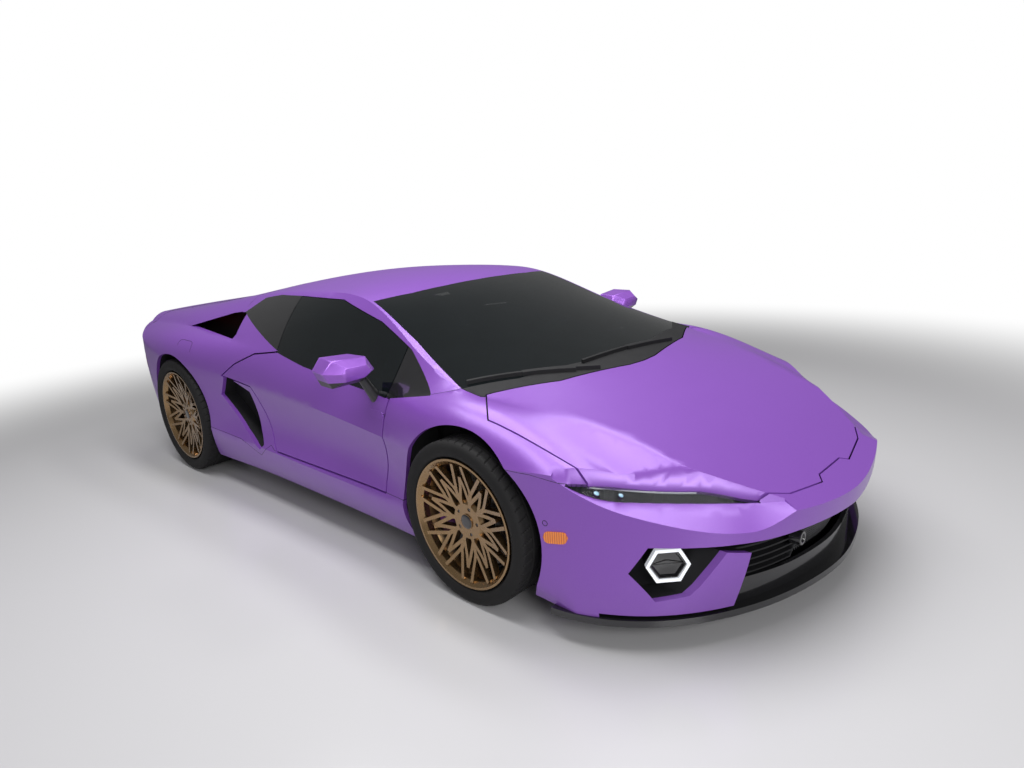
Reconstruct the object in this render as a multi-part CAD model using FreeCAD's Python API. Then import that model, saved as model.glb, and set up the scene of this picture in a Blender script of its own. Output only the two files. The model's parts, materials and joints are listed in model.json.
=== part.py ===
import FreeCAD
import Part
import functools
import math
import os

# A mid-engined two-seat supercar. X points forward, Y to the car's left, Z up.
# The origin is on the ground, midway between nose and tail. Sizes are in millimetres.

# Driving dimensions
LENGTH = 4706.0
WIDTH = 1996.0
HEIGHT = 1201.0
WHEELBASE = 2658.0
FRONT_OVERHANG = 1170.0
FRONT_TYRE_RADIUS = 343.0
FRONT_TYRE_WIDTH = 255.0
FRONT_RIM_RADIUS = 271.0
REAR_TYRE_RADIUS = 364.0
REAR_TYRE_WIDTH = 325.0
REAR_RIM_RADIUS = 284.0
FRONT_TRACK = 1722.0
REAR_TRACK = 1670.0
FRONT_ARCH_CLEARANCE = 56.0
REAR_ARCH_CLEARANCE = 40.0
PANEL = 20.0
ROOF_PANEL = 34.0
DOOR_THICKNESS = 105.0
GLASS = 5.0
GAP = 6.0
DOOR_GAP = 8.0
SEAT_PLAY = 0.3
OVERRUN = 60.0

HALF_LENGTH = LENGTH / 2
HALF_WIDTH = WIDTH / 2
FRONT_AXLE_X = HALF_LENGTH - FRONT_OVERHANG
REAR_AXLE_X = FRONT_AXLE_X - WHEELBASE


# Splines through hand-set points

CUBIC = 3


def knot_line(pole_count):
    """Knots of a clamped cubic with even spans, and how often each one counts."""
    spans = pole_count - CUBIC
    knots = [float(index) for index in range(spans + 1)]
    counts = [CUBIC + 1] + [1] * (spans - 1) + [CUBIC + 1]
    return knots, counts


def knot_vector(pole_count):
    knots, counts = knot_line(pole_count)
    return [knot for knot, count in zip(knots, counts) for _ in range(count)]


def station_parameters(pole_count):
    """The parameter at which each pole has its greatest pull."""
    vector = knot_vector(pole_count)
    return [sum(vector[index + 1:index + 1 + CUBIC]) / CUBIC for index in range(pole_count)]


def basis(index, degree, parameter, vector):
    if degree == 0:
        last = vector[-1]
        inside = vector[index] <= parameter < vector[index + 1]
        at_end = parameter == last and vector[index] < last == vector[index + 1]
        return 1.0 if inside or at_end else 0.0
    total = 0.0
    left = vector[index + degree] - vector[index]
    if left > 0:
        total += (parameter - vector[index]) / left * basis(index, degree - 1, parameter, vector)
    right = vector[index + degree + 1] - vector[index + 1]
    if right > 0:
        share = (vector[index + degree + 1] - parameter) / right
        total += share * basis(index + 1, degree - 1, parameter, vector)
    return total


def poles_through(points):
    """Poles of the clamped cubic that passes through the points, by Gauss elimination."""
    count = len(points)
    vector = knot_vector(count)
    rows = []
    for parameter, point in zip(station_parameters(count), points):
        row = [basis(index, CUBIC, parameter, vector) for index in range(count)]
        rows.append((row, FreeCAD.Vector(point)))
    for pivot in range(count):
        best = max(range(pivot, count), key=lambda index: abs(rows[index][0][pivot]))
        rows[pivot], rows[best] = rows[best], rows[pivot]
        row, value = rows[pivot]
        scale = row[pivot]
        rows[pivot] = ([entry / scale for entry in row], value / scale)
        for other in range(count):
            factor = rows[other][0][pivot]
            if other != pivot and factor:
                reduced = [a - factor * b for a, b in zip(rows[other][0], rows[pivot][0])]
                rows[other] = (reduced, rows[other][1] - rows[pivot][1] * factor)
    return [value for _, value in rows]


def smooth_value(keys, x):
    """Value at x of a smooth curve through (x, value) keys that run from low x to high x."""
    slopes = []
    for index in range(len(keys)):
        low = keys[max(index - 1, 0)]
        high = keys[min(index + 1, len(keys) - 1)]
        slopes.append((high[1] - low[1]) / (high[0] - low[0]))
    index = 0
    while index < len(keys) - 2 and x > keys[index + 1][0]:
        index += 1
    (x0, v0), (x1, v1) = keys[index], keys[index + 1]
    span = x1 - x0
    t = (x - x0) / span
    hermite = v0 * (1 + 2 * t) * (1 - t) ** 2 + span * slopes[index] * t * (1 - t) ** 2
    return hermite + v1 * t * t * (3 - 2 * t) + span * slopes[index + 1] * t * t * (t - 1)


def surface(rows, across_degree):
    """Surface whose rows of poles run along the car. Across it is one Bezier span."""
    along_knots, along_counts = knot_line(len(rows[0]))
    across_counts = [across_degree + 1, across_degree + 1]
    net = Part.BSplineSurface()
    net.buildFromPolesMultsKnots(
        rows, across_counts, along_counts, [0.0, 1.0], along_knots, False, False,
        across_degree, CUBIC)
    return net


def closed_solid(faces):
    shell = Part.makeShell(faces)
    shell.sewShape()
    solid = Part.Solid(shell)
    if solid.Volume < 0:
        solid.reverse()
    return solid


def mirrored(shape):
    return shape.mirror(FreeCAD.Vector(), FreeCAD.Vector(0, 1, 0))


# The body's main form
# Each rail runs from tail to nose, through keys given as shares of the half length,
# the half width and the height.

RAIL_STATIONS = 14
RAIL_REACH_SHARE = 1.045

RAIL_SHARES = {
    "sill_foot": [
        (-1.045, .84, .125), (-.63, .93, .125), (-.25, .905, .125), (.13, .905, .125),
        (.45, .925, .125), (.63, .93, .115), (.75, .93, .10), (1.045, .90, .10)],
    "sill_side": [
        (-1.045, .92, .20), (-.63, .97, .19), (-.25, .958, .19), (.13, .955, .19),
        (.45, .965, .19), (.63, .97, .19), (1.045, .96, .20)],
    "sill_crease": [
        (-1.045, .93, .30), (-.63, .99, .30), (-.35, .967, .284), (0, .960, .270),
        (.3, .957, .262), (.5, .975, .265), (.66, .985, .27), (1.045, .97, .27)],
    "waist": [
        (-1.045, .94, .45), (-.63, .99, .44), (-.38, .93, .40), (-.15, .875, .385), (0, .868, .385),
        (.25, .88, .375), (.5, .985, .375), (.66, .995, .37), (1.045, .99, .36)],
    "door_crease": [
        (-1.045, .955, .60), (-.63, 1.0, .60), (-.36, .950, .58), (-.23, .942, .56), (0, .937, .545),
        (.17, .935, .515), (.33, .945, .495), (.5, .985, .50), (.66, .985, .50), (1.045, .97, .44)],
    "shoulder": [
        (-1.045, .96, .69), (-.63, 1.0, .73), (-.36, .935, .70), (0, .915, .63),
        (.3, .915, .615), (.5, .99, .645), (.6, .97, .615), (.68, .925, .573), (.8, .89, .505), (1.045, .87, .44)],
    "belt": [
        (-1.045, .79, .735), (-.9, .80, .752), (-.66, .82, .763), (-.38, .855, .735),
        (-.13, .865, .722), (0, .862, .690), (.13, .862, .665), (.26, .862, .650),
        (.39, .85, .665), (.5, .83, .682), (.6, .815, .645), (.69, .80, .576), (.77, .775, .506),
        (.85, .74, .465), (1.045, .68, .37)],
    "upper_side": [
        (-1.045, .74, .785), (-.9, .74, .795), (-.66, .75, .825), (-.38, .745, .845),
        (-.13, .745, .865), (0, .745, .845), (.13, .755, .79), (.26, .79, .725),
        (.39, .815, .692), (.5, .80, .686), (.6, .765, .651), (.69, .735, .587), (.77, .70, .525),
        (.85, .655, .482), (1.045, .58, .375)],
    "cant_rail": [
        (-1.045, .67, .78), (-.9, .67, .795), (-.77, .66, .82), (-.64, .645, .85), (-.51, .625, .885),
        (-.38, .605, .918), (-.255, .603, .945), (-.13, .607, .956), (0, .612, .955),
        (.11, .632, .935), (.285, .722, .80), (.39, .775, .718), (.45, .795, .690), (.51, .77, .682),
        (.6, .70, .655), (.69, .66, .613), (.77, .62, .562), (.85, .58, .508), (.935, .5, .43),
        (1.045, .42, .34)],
    "crown": [
        (-1.045, 0, .785), (-.9, 0, .805), (-.77, 0, .835), (-.64, 0, .872), (-.51, 0, .915),
        (-.38, 0, .955), (-.255, 0, .985), (-.13, 0, 1.0), (0, 0, .998), (.109, 0, .979),
        (.14, 0, .969), (.255, 0, .903), (.38, 0, .820), (.47, 0, .762), (.587, 0, .678),
        (.68, 0, .630), (.765, 0, .570), (.85, 0, .500), (.89, 0, .462), (.94, 0, .418), (1.0, 0, .370),
        (1.045, 0, .335)],
}
CROWN_WIDTH_SHARE = .62
CROWN_FULLNESS_SHARE = .86


def rail_points(name):
    """The rail's points at the even stations along the car."""
    reach = HALF_LENGTH * RAIL_REACH_SHARE
    parameters = station_parameters(RAIL_STATIONS)
    widths = [(x, y) for x, y, _ in RAIL_SHARES[name]]
    heights = [(x, z) for x, _, z in RAIL_SHARES[name]]
    points = []
    for parameter in parameters:
        x = reach * (2 * parameter / parameters[-1] - 1)
        y = HALF_WIDTH * smooth_value(widths, x / HALF_LENGTH)
        z = HEIGHT * smooth_value(heights, x / HALF_LENGTH)
        points.append(FreeCAD.Vector(x, y, z))
    return points


def moved_inwards(section, inset):
    """A half section's points, foot first, each moved square to its neighbours."""
    foot = section[0]
    top = section[-1]
    padded = [FreeCAD.Vector(foot.x, 0, foot.z)] + section + [FreeCAD.Vector(top.x, -section[-2].y, section[-2].z)]
    moved = []
    for index, point in enumerate(section):
        before = (point - padded[index]).normalize()
        after = (padded[index + 2] - point).normalize()
        bisector = (before + after).normalize()
        inward = FreeCAD.Vector(0, -bisector.z, bisector.y)
        lean = max(bisector.dot(after), .6)
        moved.append(point + inward * (inset / lean))
    moved[-1] = FreeCAD.Vector(top.x, 0, top.z - inset)
    return moved


def main_form(inset):
    """The whole body as one closed form, its walls moved in by the inset."""
    names = list(RAIL_SHARES)
    rails = [rail_points(name) for name in names]
    sections = [moved_inwards(list(section), inset) for section in zip(*rails)]
    rails = [poles_through(list(points)) for points in zip(*sections)]
    half = dict(zip(names, rails))
    faces = []
    ends = {0: [], 1: []}

    def add(rows, degree):
        net = surface(rows, degree)
        faces.append(net.toShape())
        _, _, low, high = net.bounds()
        ends[0].append(net.vIso(low).toShape())
        ends[1].append(net.vIso(high).toShape())

    def flipped(row):
        return [FreeCAD.Vector(pole.x, -pole.y, pole.z) for pole in row]

    for strip in (("sill_foot", "sill_side", "sill_crease"),
                  ("sill_crease", "waist", "door_crease"),
                  ("door_crease", "shoulder", "belt"),
                  ("belt", "upper_side", "cant_rail")):
        rows = [half[name] for name in strip]
        add(rows, 2)
        add([flipped(row) for row in rows], 2)
    add([half["sill_foot"], flipped(half["sill_foot"])], 1)

    edge = half["cant_rail"]
    side = []
    middle = []
    for low, high in zip(edge, half["crown"]):
        rise = high.z - low.z
        side.append(FreeCAD.Vector(low.x, low.y * CROWN_WIDTH_SHARE, low.z + CROWN_FULLNESS_SHARE * rise))
        middle.append(FreeCAD.Vector(low.x, 0, low.z + rise * (16 - 8 * CROWN_FULLNESS_SHARE) / 6))
    add([edge, side, middle, flipped(side), flipped(edge)], 4)
    for edges in ends.values():
        faces.append(Part.Face(Part.Wire(Part.sortEdges(edges)[0])))
    return closed_solid(faces)


# Nose and tail walls, which wrap round the ends of the main form
# Each row: height share, then plan places from the centre out, as shares of half length and width.

NOSE_SHARES = [
    (.085, [(.973, 0), (.964, .20), (.938, .42), (.895, .62), (.835, .79), (.765, .90), (.68, .955),
            (.552, .96), (.425, .95)]),
    (.37, [(1.0, 0), (.992, .20), (.970, .42), (.926, .62), (.842, .79), (.750, .897), (.659, .947),
           (.552, .957), (.425, .95)]),
    (.60, [(.985, 0), (.977, .20), (.953, .42), (.908, .62), (.824, .79), (.738, .905), (.659, .968),
           (.552, .995), (.425, .995)]),
    (.95, [(.92, 0), (.912, .20), (.890, .42), (.842, .62), (.782, .80), (.722, .93), (.659, 1.01),
           (.552, 1.05), (.425, 1.06)]),
]
TAIL_SHARES = [
    (.13, [(-.93, 0), (-.928, .22), (-.922, .44), (-.912, .64), (-.89, .80), (-.85, .90), (-.78, .95),
           (-.68, .955)]),
    (.42, [(-.985, 0), (-.983, .22), (-.975, .44), (-.962, .64), (-.938, .81), (-.885, .915), (-.80, .965),
           (-.68, .975)]),
    (.62, [(-1.0, 0), (-.998, .22), (-.992, .44), (-.978, .64), (-.948, .81), (-.89, .915), (-.80, .975),
           (-.68, 1.0)]),
    (.95, [(-.955, 0), (-.953, .22), (-.947, .44), (-.932, .64), (-.90, .81), (-.845, .92), (-.77, 1.0),
           (-.68, 1.04)]),
]


def rows_through(rows):
    """Bezier rows of the surface that passes through four evenly spaced rows."""
    first, second, third, fourth = [list(row) for row in rows]
    inner_low = []
    inner_high = []
    for a, b, c, d in zip(first, second, third, fourth):
        inner_low.append((a * -5 + b * 18 - c * 9 + d * 2) / 6)
        inner_high.append((a * 2 - b * 9 + c * 18 - d * 5) / 6)
    return [first, inner_low, inner_high, fourth]


def end_form(shares, inset):
    """A closed form with a wall that wraps round one end of the car."""
    rows = []
    for height, plan in shares:
        half = [FreeCAD.Vector(HALF_LENGTH * x, HALF_WIDTH * y, HEIGHT * height) for x, y in plan]
        points = [FreeCAD.Vector(p.x, -p.y, p.z) for p in reversed(half[1:])] + half
        sign = 1.0 if half[0].x > 0 else -1.0
        moved = []
        for index, point in enumerate(points):
            before = points[max(index - 1, 0)]
            after = points[min(index + 1, len(points) - 1)]
            along = (after - before).normalize()
            moved.append(point + FreeCAD.Vector(-along.y, along.x, 0) * (inset * sign))
        rows.append(poles_through(moved))
    rows = rows_through(rows)
    low_z = rows[0][0].z
    rows[0] = [FreeCAD.Vector(p.x, p.y, low_z + inset) for p in rows[0]]
    net = surface(rows, len(rows) - 1)
    across_low, across_high, low, high = net.bounds()
    faces = [net.toShape()]
    for place in (across_low, across_high):
        curve = net.uIso(place)
        ends = [curve.value(curve.FirstParameter), curve.value(curve.LastParameter)]
        closing = Part.makeLine(ends[1], ends[0])
        faces.append(Part.Face(Part.Wire([curve.toShape(), closing])))
    sides = [net.vIso(place) for place in (low, high)]
    edges = [side.toShape() for side in sides]
    for place in (0, 1):
        points = [side.value(side.FirstParameter if place == 0 else side.LastParameter) for side in sides]
        edges.append(Part.makeLine(points[0], points[1]))
    faces.append(Part.makeRuledSurface(edges[0], edges[1]))
    return closed_solid(faces)


# The shelf under each headlamp, which drops from the bonnet's edge to the bumper's brow
# Its inner edge is the lamp's foot, from the fender to the bonnet's front corner.

LAMP_FOOT_SHARES = [
    (.700, .935, .524), (.742, .886, .478), (.795, .775, .446), (.850, .645, .430), (.893, .545, .421),
    (.922, .470, .414), (.950, .395, .410)]
SHELF_RIM_SHARES = [
    (.700, 1.04, .512), (.780, 1.02, .430), (.865, .93, .375), (.925, .80, .340), (.968, .665, .322),
    (.998, .560, .330), (1.03, .460, .365)]
LAMP_LEAN = FreeCAD.Vector(-.30, -.54, 1)
SHELF_INSET_SHARES = FreeCAD.Vector(-.588, -.454, -.720)
SHELF_RISE = 190.0
LAMP_OUTWARD = FreeCAD.Vector(.79, .61, 0)
LAMP_MARGIN = 1.5
LAMP_BEHIND = 110.0


def spline_edge(points):
    """The clamped cubic edge through the points."""
    knots, counts = knot_line(len(points))
    curve = Part.BSplineCurve()
    curve.buildFromPolesMultsKnots(poles_through(points), counts, knots, False, CUBIC)
    return curve.toShape()


def share_points(shares):
    return [FreeCAD.Vector(HALF_LENGTH * x, HALF_WIDTH * y, HEIGHT * z) for x, y, z in shares]


def shelf_cutter(inset):
    """What lies over the left lamp's shelf. Its inner wall leans in as the lamp does."""
    shelf = Part.makeRuledSurface(
        spline_edge(share_points(LAMP_FOOT_SHARES)), spline_edge(share_points(SHELF_RIM_SHARES)))
    cutter = shelf.extrude(LAMP_LEAN * SHELF_RISE)
    cutter.translate(SHELF_INSET_SHARES * inset)
    return cutter


def end_cutter(shares, inset):
    """What lies outside the wall at one end of the car."""
    wall = end_form(shares, inset)
    reach = HALF_LENGTH * RAIL_REACH_SHARE + OVERRUN
    start = HALF_LENGTH * shares[0][1][-1][0]
    low_x = min(start, math.copysign(reach, start))
    box = Part.makeBox(
        reach - abs(start), WIDTH + 4 * OVERRUN, HEIGHT + 2 * OVERRUN,
        FreeCAD.Vector(low_x, -HALF_WIDTH - 2 * OVERRUN, -OVERRUN))
    return box.cut(wall)


@functools.lru_cache(maxsize=None)
def body_form(inset):
    """The body's full volume, with its walls moved in by the inset."""
    form = main_form(inset)
    shelf = shelf_cutter(inset)
    return form.cut([
        end_cutter(NOSE_SHARES, inset), end_cutter(TAIL_SHARES, inset), shelf, mirrored(shelf)])


# Cutting tools from flat outlines

def side_face(shares):
    """A flat face in side view, its corners as shares of half length and height."""
    points = [FreeCAD.Vector(HALF_LENGTH * x, 0, HEIGHT * z) for x, z in shares]
    return Part.Face(Part.makePolygon(points + points[:1]))


def plan_face(shares):
    """A flat face in plan, its corners as shares of half length and half width."""
    points = [FreeCAD.Vector(HALF_LENGTH * x, HALF_WIDTH * y, 0) for x, y in shares]
    return Part.Face(Part.makePolygon(points + points[:1]))


def both_halves(shares):
    """Plan corners of the left half, from tail to nose, closed over the centre line."""
    return shares + [(x, -y) for x, y in reversed(shares)]


def grown(face, distance):
    return face.makeOffset2D(distance) if distance else face


def side_prism(shares, grow=0, inner_y=0):
    """The side outline carried outwards to the left, past the widest place."""
    face = grown(side_face(shares), grow)
    face.translate(FreeCAD.Vector(0, inner_y, 0))
    return face.extrude(FreeCAD.Vector(0, HALF_WIDTH + OVERRUN - inner_y, 0))


def plan_prism(shares, grow=0, low_z=0, high_z=HEIGHT + OVERRUN):
    face = grown(plan_face(shares), grow)
    face.translate(FreeCAD.Vector(0, 0, low_z))
    return face.extrude(FreeCAD.Vector(0, 0, high_z - low_z))


def box(low, high):
    size = FreeCAD.Vector(*high) - FreeCAD.Vector(*low)
    return Part.makeBox(size.x, size.y, size.z, FreeCAD.Vector(*low))


def cross_cylinder(x, z, radius, low_y, high_y):
    """A cylinder along Y."""
    return Part.makeCylinder(radius, high_y - low_y, FreeCAD.Vector(x, low_y, z), FreeCAD.Vector(0, 1, 0))


# Where the panels meet, in side view and in plan

DOOR_SHARES = [
    (.285, .632), (.283, .484), (.273, .322), (.276, .279), (-.135, .282), (-.152, .312), (-.228, .556),
    (-.359, .579), (-.30, .645), (-.225, .70), (-.13, .7235), (-.02, .688), (.13, .655), (.22, .641)]
SIDE_WINDOW_SHARES = [
    (.285, .634), (.394, .670), (.285, .790), (.169, .871), (.014, .939), (-.15, .9385), (-.268, .933),
    (-.34, .915), (-.386, .851), (-.13, .7255), (-.02, .690), (.13, .657), (.22, .643)]
DOOR_GLASS_SHARES = [
    (.272, .600), (.272, .80), (.169, .871), (.014, .939), (-.15, .9385), (-.165, .9385),
    (-.135, .7275), (-.135, .700), (-.02, .660), (.13, .620), (.22, .605)]
CABIN_SHARES = [
    (.393, .672), (.455, .700), (.60, .80), (.60, 1.04), (-.40, 1.04), (-.40, .849), (-.38, .851),
    (-.12, .735), (0, .71), (.2, .67), (.3, .66)]
BUMPER_LINE_SHARES = [
    (.46, .06), (.46, .525), (.60, .5275), (.664, .526), (.7174, .5095), (.76, .40), (1.04, .40),
    (1.04, .06)]
LAMP_BROW_SHARES = [(.741, .862), (.795, .737), (.858, .592), (.9025, .504), (.922, .460)]
BONNET_FRONT_SHARES = [(.948, .34), (.963, .137), (.952, .10), (.952, 0)]
NOSE_TOP_SHARES = [(.7174, 1.10), (.7174, .912)] + LAMP_BROW_SHARES + BONNET_FRONT_SHARES
LAMP_SHARES = [(.7174, .912)] + LAMP_BROW_SHARES + [(.97, .50), (.93, .85), (.80, 1.02), (.7174, 1.02)]
HOOD_SHARES = [
    (.595, 0), (.592, .10), (.557, .481), (.4955, .765), (.552, .889), (.60, .882),
    (.656, .874)] + LAMP_BROW_SHARES + BONNET_FRONT_SHARES
SCREEN_SHARES = [
    (.1445, 0), (.141, .22), (.131, .42), (.109, .617), (.28, .688), (.449, .795), (.503, .589),
    (.538, .25), (.548, 0)]
COWL_SHARES = [
    (.5465, 0), (.5365, .25), (.5015, .589), (.4475, .795), (.4955, .795), (.557, .481),
    (.592, .10), (.595, 0)]
LID_SHARES = [
    (-.415, 0), (-.415, .53), (-.62, .55), (-.86, .575), (-.885, .56), (-.885, 0)]
LID_VENT_SHARES = [
    (-.455, 0), (-.455, .40), (-.62, .42), (-.84, .44), (-.84, 0)]
TAIL_LINE_SHARES = [
    (-1.04, .06), (-1.04, 1.0), (-.898, 1.0), (-.898, .70), (-.855, .60), (-.80, .33), (-.78, .33),
    (-.78, .06)]
SIDE_DUCT_SHARES = [
    (-.345, .590), (-.385, .478), (-.284, .331), (-.2125, .262), (-.195, .290), (-.214, .351), (-.241, .527)]
SHOULDER_DUCT_SHARES = [
    (-.63, .763), (-.444, .841), (-.374, .857), (-.355, .76), (-.365, .733)]


SILL_SHARES = [
    (.50, .06), (.50, .279), (-.145, .284), (-.165, .30), (-.2125, .236), (-.30, .285), (-.52, .30),
    (-.52, .06)]
MOUTH_SHARES = [
    (0, .09), (.582, .09), (.574, .303), (.645, .316), (.701, .210), (.722, .182), (.799, .167),
    (.848, .255), (.812, .338), (.615, .338), (.40, .330), (.18, .318), (0, .311)]
APRON_SHARES = [(-.57, .10), (.57, .10), (.55, .185), (.30, .175), (-.30, .175), (-.55, .185)]
WIPER_BLADE_SHARES = [((.447, -.76), (.552, -.36)), ((.540, -.28), (.553, .34))]
WIPER_PIVOT_SHARES = [(.5700, -.25), (.5575, .37)]
TAIL_LAMP_SHARES = [(.88, .66), (.79, .72), (.62, .72), (.53, .66), (.62, .60), (.79, .60)]
TAIL_MOUTH_SHARES = [
    (.80, .52), (.72, .56), (-.72, .56), (-.80, .52), (-.72, .40), (-.30, .36), (.30, .36), (.72, .40)]
EXHAUST_CENTRE_SHARES = (.12, .60)

# Sizes of the body's smaller pieces
LID_RIB = 30.0
LAMP_DEPTH = 70.0
DUCT_DEPTH = 90.0
DUCT_WALL = 8.0
SPLITTER_THICKNESS = 26.0
SPLITTER_FOOT = 104.0
SPLITTER_LIP = 18.0
APRON_SET_IN = 26.0
APRON_THICKNESS = 18.0
DAY_LAMP_CENTRE = (1985.0, 745.0, 322.0)
DAY_LAMP_TURN_DEG = 45.0
DAY_LAMP_WIDTH = 156.0
DAY_LAMP_HEIGHT = 124.0
DAY_LAMP_TUBE = 12.0
DAY_LAMP_DEPTH = 22.0
POD_LENGTH = 130.0
SLAT_COUNT = 5
SLAT_PITCH = 31.0
SLAT_THICKNESS = 8.0
SLAT_LOW_Z = 230.0
SLAT_INNER_Y = 300.0
SLAT_OUTER_Y = 585.0
SLAT_SET_IN = 50.0
WIPER_HEIGHT = 16.0
WIPER_BLADE_WIDTH = 10.0
WIPER_ARM_WIDTH = 18.0
EXHAUST_RADIUS = 66.0
EXHAUST_WALL = 5.0
EXHAUST_LENGTH = 260.0
EXHAUST_SET_IN = 25.0
LOUVRE_COUNT = 6
LOUVRE_WIDTH = 100.0
LINER_CLEARANCE = 4.0
LINER_WALL = 4.0
LINER_FOOT_SHARE = .75
FRONT_LINER_INNER_Y = 560.0
REAR_LINER_INNER_Y = 620.0


def arch(axle_x, radius, clearance, inner_y=0):
    """The round space over a wheel, open to the side."""
    return cross_cylinder(axle_x, radius, radius + clearance, inner_y, HALF_WIDTH + OVERRUN)


def end_prism(shares, low_x, high_x, grow=0):
    """An outline seen from the front, its corners as shares of half width and height."""
    points = [FreeCAD.Vector(low_x, HALF_WIDTH * y, HEIGHT * z) for y, z in shares]
    face = grown(Part.Face(Part.makePolygon(points + points[:1])), grow)
    return face.extrude(FreeCAD.Vector(high_x - low_x, 0, 0))


def mouth_with_walls(sheet, outline, low_x, high_x, fittings=()):
    """A mesh sheet behind a bumper, with walls from the bumper to the sheet round its mouth."""
    depth = body_form(PANEL).cut(body_form(DUCT_DEPTH))
    ring = end_prism(outline, low_x, high_x, DUCT_WALL).cut(end_prism(outline, low_x, high_x))
    return largest(sheet.fuse([depth.common(ring), *fittings]))


def grille_slats():
    """Level slats at each side of the front mouth, and the upright blade at their inner ends."""
    room = body_form(SLAT_SET_IN).cut(body_form(DUCT_DEPTH + DUCT_WALL / 2))
    high_z = SLAT_LOW_Z + SLAT_PITCH * (SLAT_COUNT - 1) + SLAT_THICKNESS
    low_x = HALF_LENGTH * .6
    strips = [
        box((low_x, SLAT_INNER_Y - SLAT_THICKNESS, SLAT_LOW_Z), (LENGTH, SLAT_INNER_Y, high_z))]
    for index in range(SLAT_COUNT):
        z = SLAT_LOW_Z + SLAT_PITCH * index
        strips.append(box((low_x, SLAT_INNER_Y - SLAT_THICKNESS, z), (LENGTH, SLAT_OUTER_Y, z + SLAT_THICKNESS)))
    left = room.common(strips[0].fuse(strips[1:]))
    return [left, mirrored(left)]


def turned_hexagon(width, height, start, depth):
    """A hexagon prism on the left day lamp's own axis, from a start to a depth behind its face."""
    prism = hexagon_prism(-start - depth, 0, 0, width, height, depth)
    prism.rotate(FreeCAD.Vector(), FreeCAD.Vector(0, 0, 1), DAY_LAMP_TURN_DEG)
    prism.translate(FreeCAD.Vector(*DAY_LAMP_CENTRE))
    return prism


def lamp_pods():
    """The dark pods behind the day lamps, back to the grille sheet."""
    pod = turned_hexagon(DAY_LAMP_WIDTH, DAY_LAMP_HEIGHT, DAY_LAMP_DEPTH + SEAT_PLAY, POD_LENGTH)
    pod = pod.common(body_form(PANEL + SEAT_PLAY))
    return [pod, mirrored(pod)]


def lamp_zone():
    """The left lamp's room: between its foot and the bonnet's brow."""
    foot = share_points(LAMP_FOOT_SHARES)
    outer = spline_edge([point + LAMP_OUTWARD * LAMP_MARGIN for point in foot])
    inner = spline_edge([point - LAMP_OUTWARD * LAMP_BEHIND for point in foot])
    zone = Part.makeRuledSurface(inner, outer).extrude(LAMP_LEAN * SHELF_RISE)
    return zone.common(plan_prism(LAMP_SHARES))


def arch_liners():
    """Curved sheets over the wheels, out to the inner side of the panels."""
    liners = []
    for x, radius, clearance, inner_y in (
            (FRONT_AXLE_X, FRONT_TYRE_RADIUS, FRONT_ARCH_CLEARANCE, FRONT_LINER_INNER_Y),
            (REAR_AXLE_X, REAR_TYRE_RADIUS, REAR_ARCH_CLEARANCE, REAR_LINER_INNER_Y)):
        inside = clearance + LINER_CLEARANCE
        shell = arch(x, radius, inside + LINER_WALL, inner_y).cut(arch(x, radius, inside, inner_y))
        upper = box((x - LENGTH, 0, radius * LINER_FOOT_SHARE), (x + LENGTH, WIDTH, WIDTH))
        liners.append(largest(shell.common(upper).common(body_form(PANEL))))
    return Part.makeCompound(liners + [mirrored(liner) for liner in liners])


def largest(shape, count=1):
    """The shape's largest solids, without slivers."""
    solids = sorted(shape.Solids, key=lambda solid: -solid.Volume)[:count]
    return solids[0] if count == 1 else Part.makeCompound(solids)


def with_mirror(shape):
    return Part.makeCompound([shape, mirrored(shape)])


def hexagon_prism(x, y, z, width, height, depth):
    """A flat-sided hexagon that points left and right, extruded forward."""
    corners = [(-.5, 0), (-.27, .5), (.27, .5), (.5, 0), (.27, -.5), (-.27, -.5)]
    points = [FreeCAD.Vector(x, y + width * across, z + height * up) for across, up in corners]
    return Part.Face(Part.makePolygon(points + points[:1])).extrude(FreeCAD.Vector(depth, 0, 0))


def louvre_strips():
    """Strips across the engine lid's vent, in plan."""
    low = HALF_LENGTH * LID_VENT_SHARES[-1][0]
    high = HALF_LENGTH * LID_VENT_SHARES[0][0]
    pitch = (high - low) / LOUVRE_COUNT
    strips = []
    for index in range(LOUVRE_COUNT):
        start = low + pitch * index + (pitch - LOUVRE_WIDTH) / 2
        strips.append(box((start, -HALF_WIDTH, 0), (start + LOUVRE_WIDTH, HALF_WIDTH, 2 * HEIGHT)))
    return Part.makeCompound(strips)


def exhaust_form(radius, behind, depth):
    """One tailpipe's outline, from behind the tail to its depth inside."""
    y = HALF_WIDTH * EXHAUST_CENTRE_SHARES[0]
    z = HEIGHT * EXHAUST_CENTRE_SHARES[1]
    return hexagon_prism(-HALF_LENGTH - behind, y, z, 2 * radius, 2 * radius, behind + depth)


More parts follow.
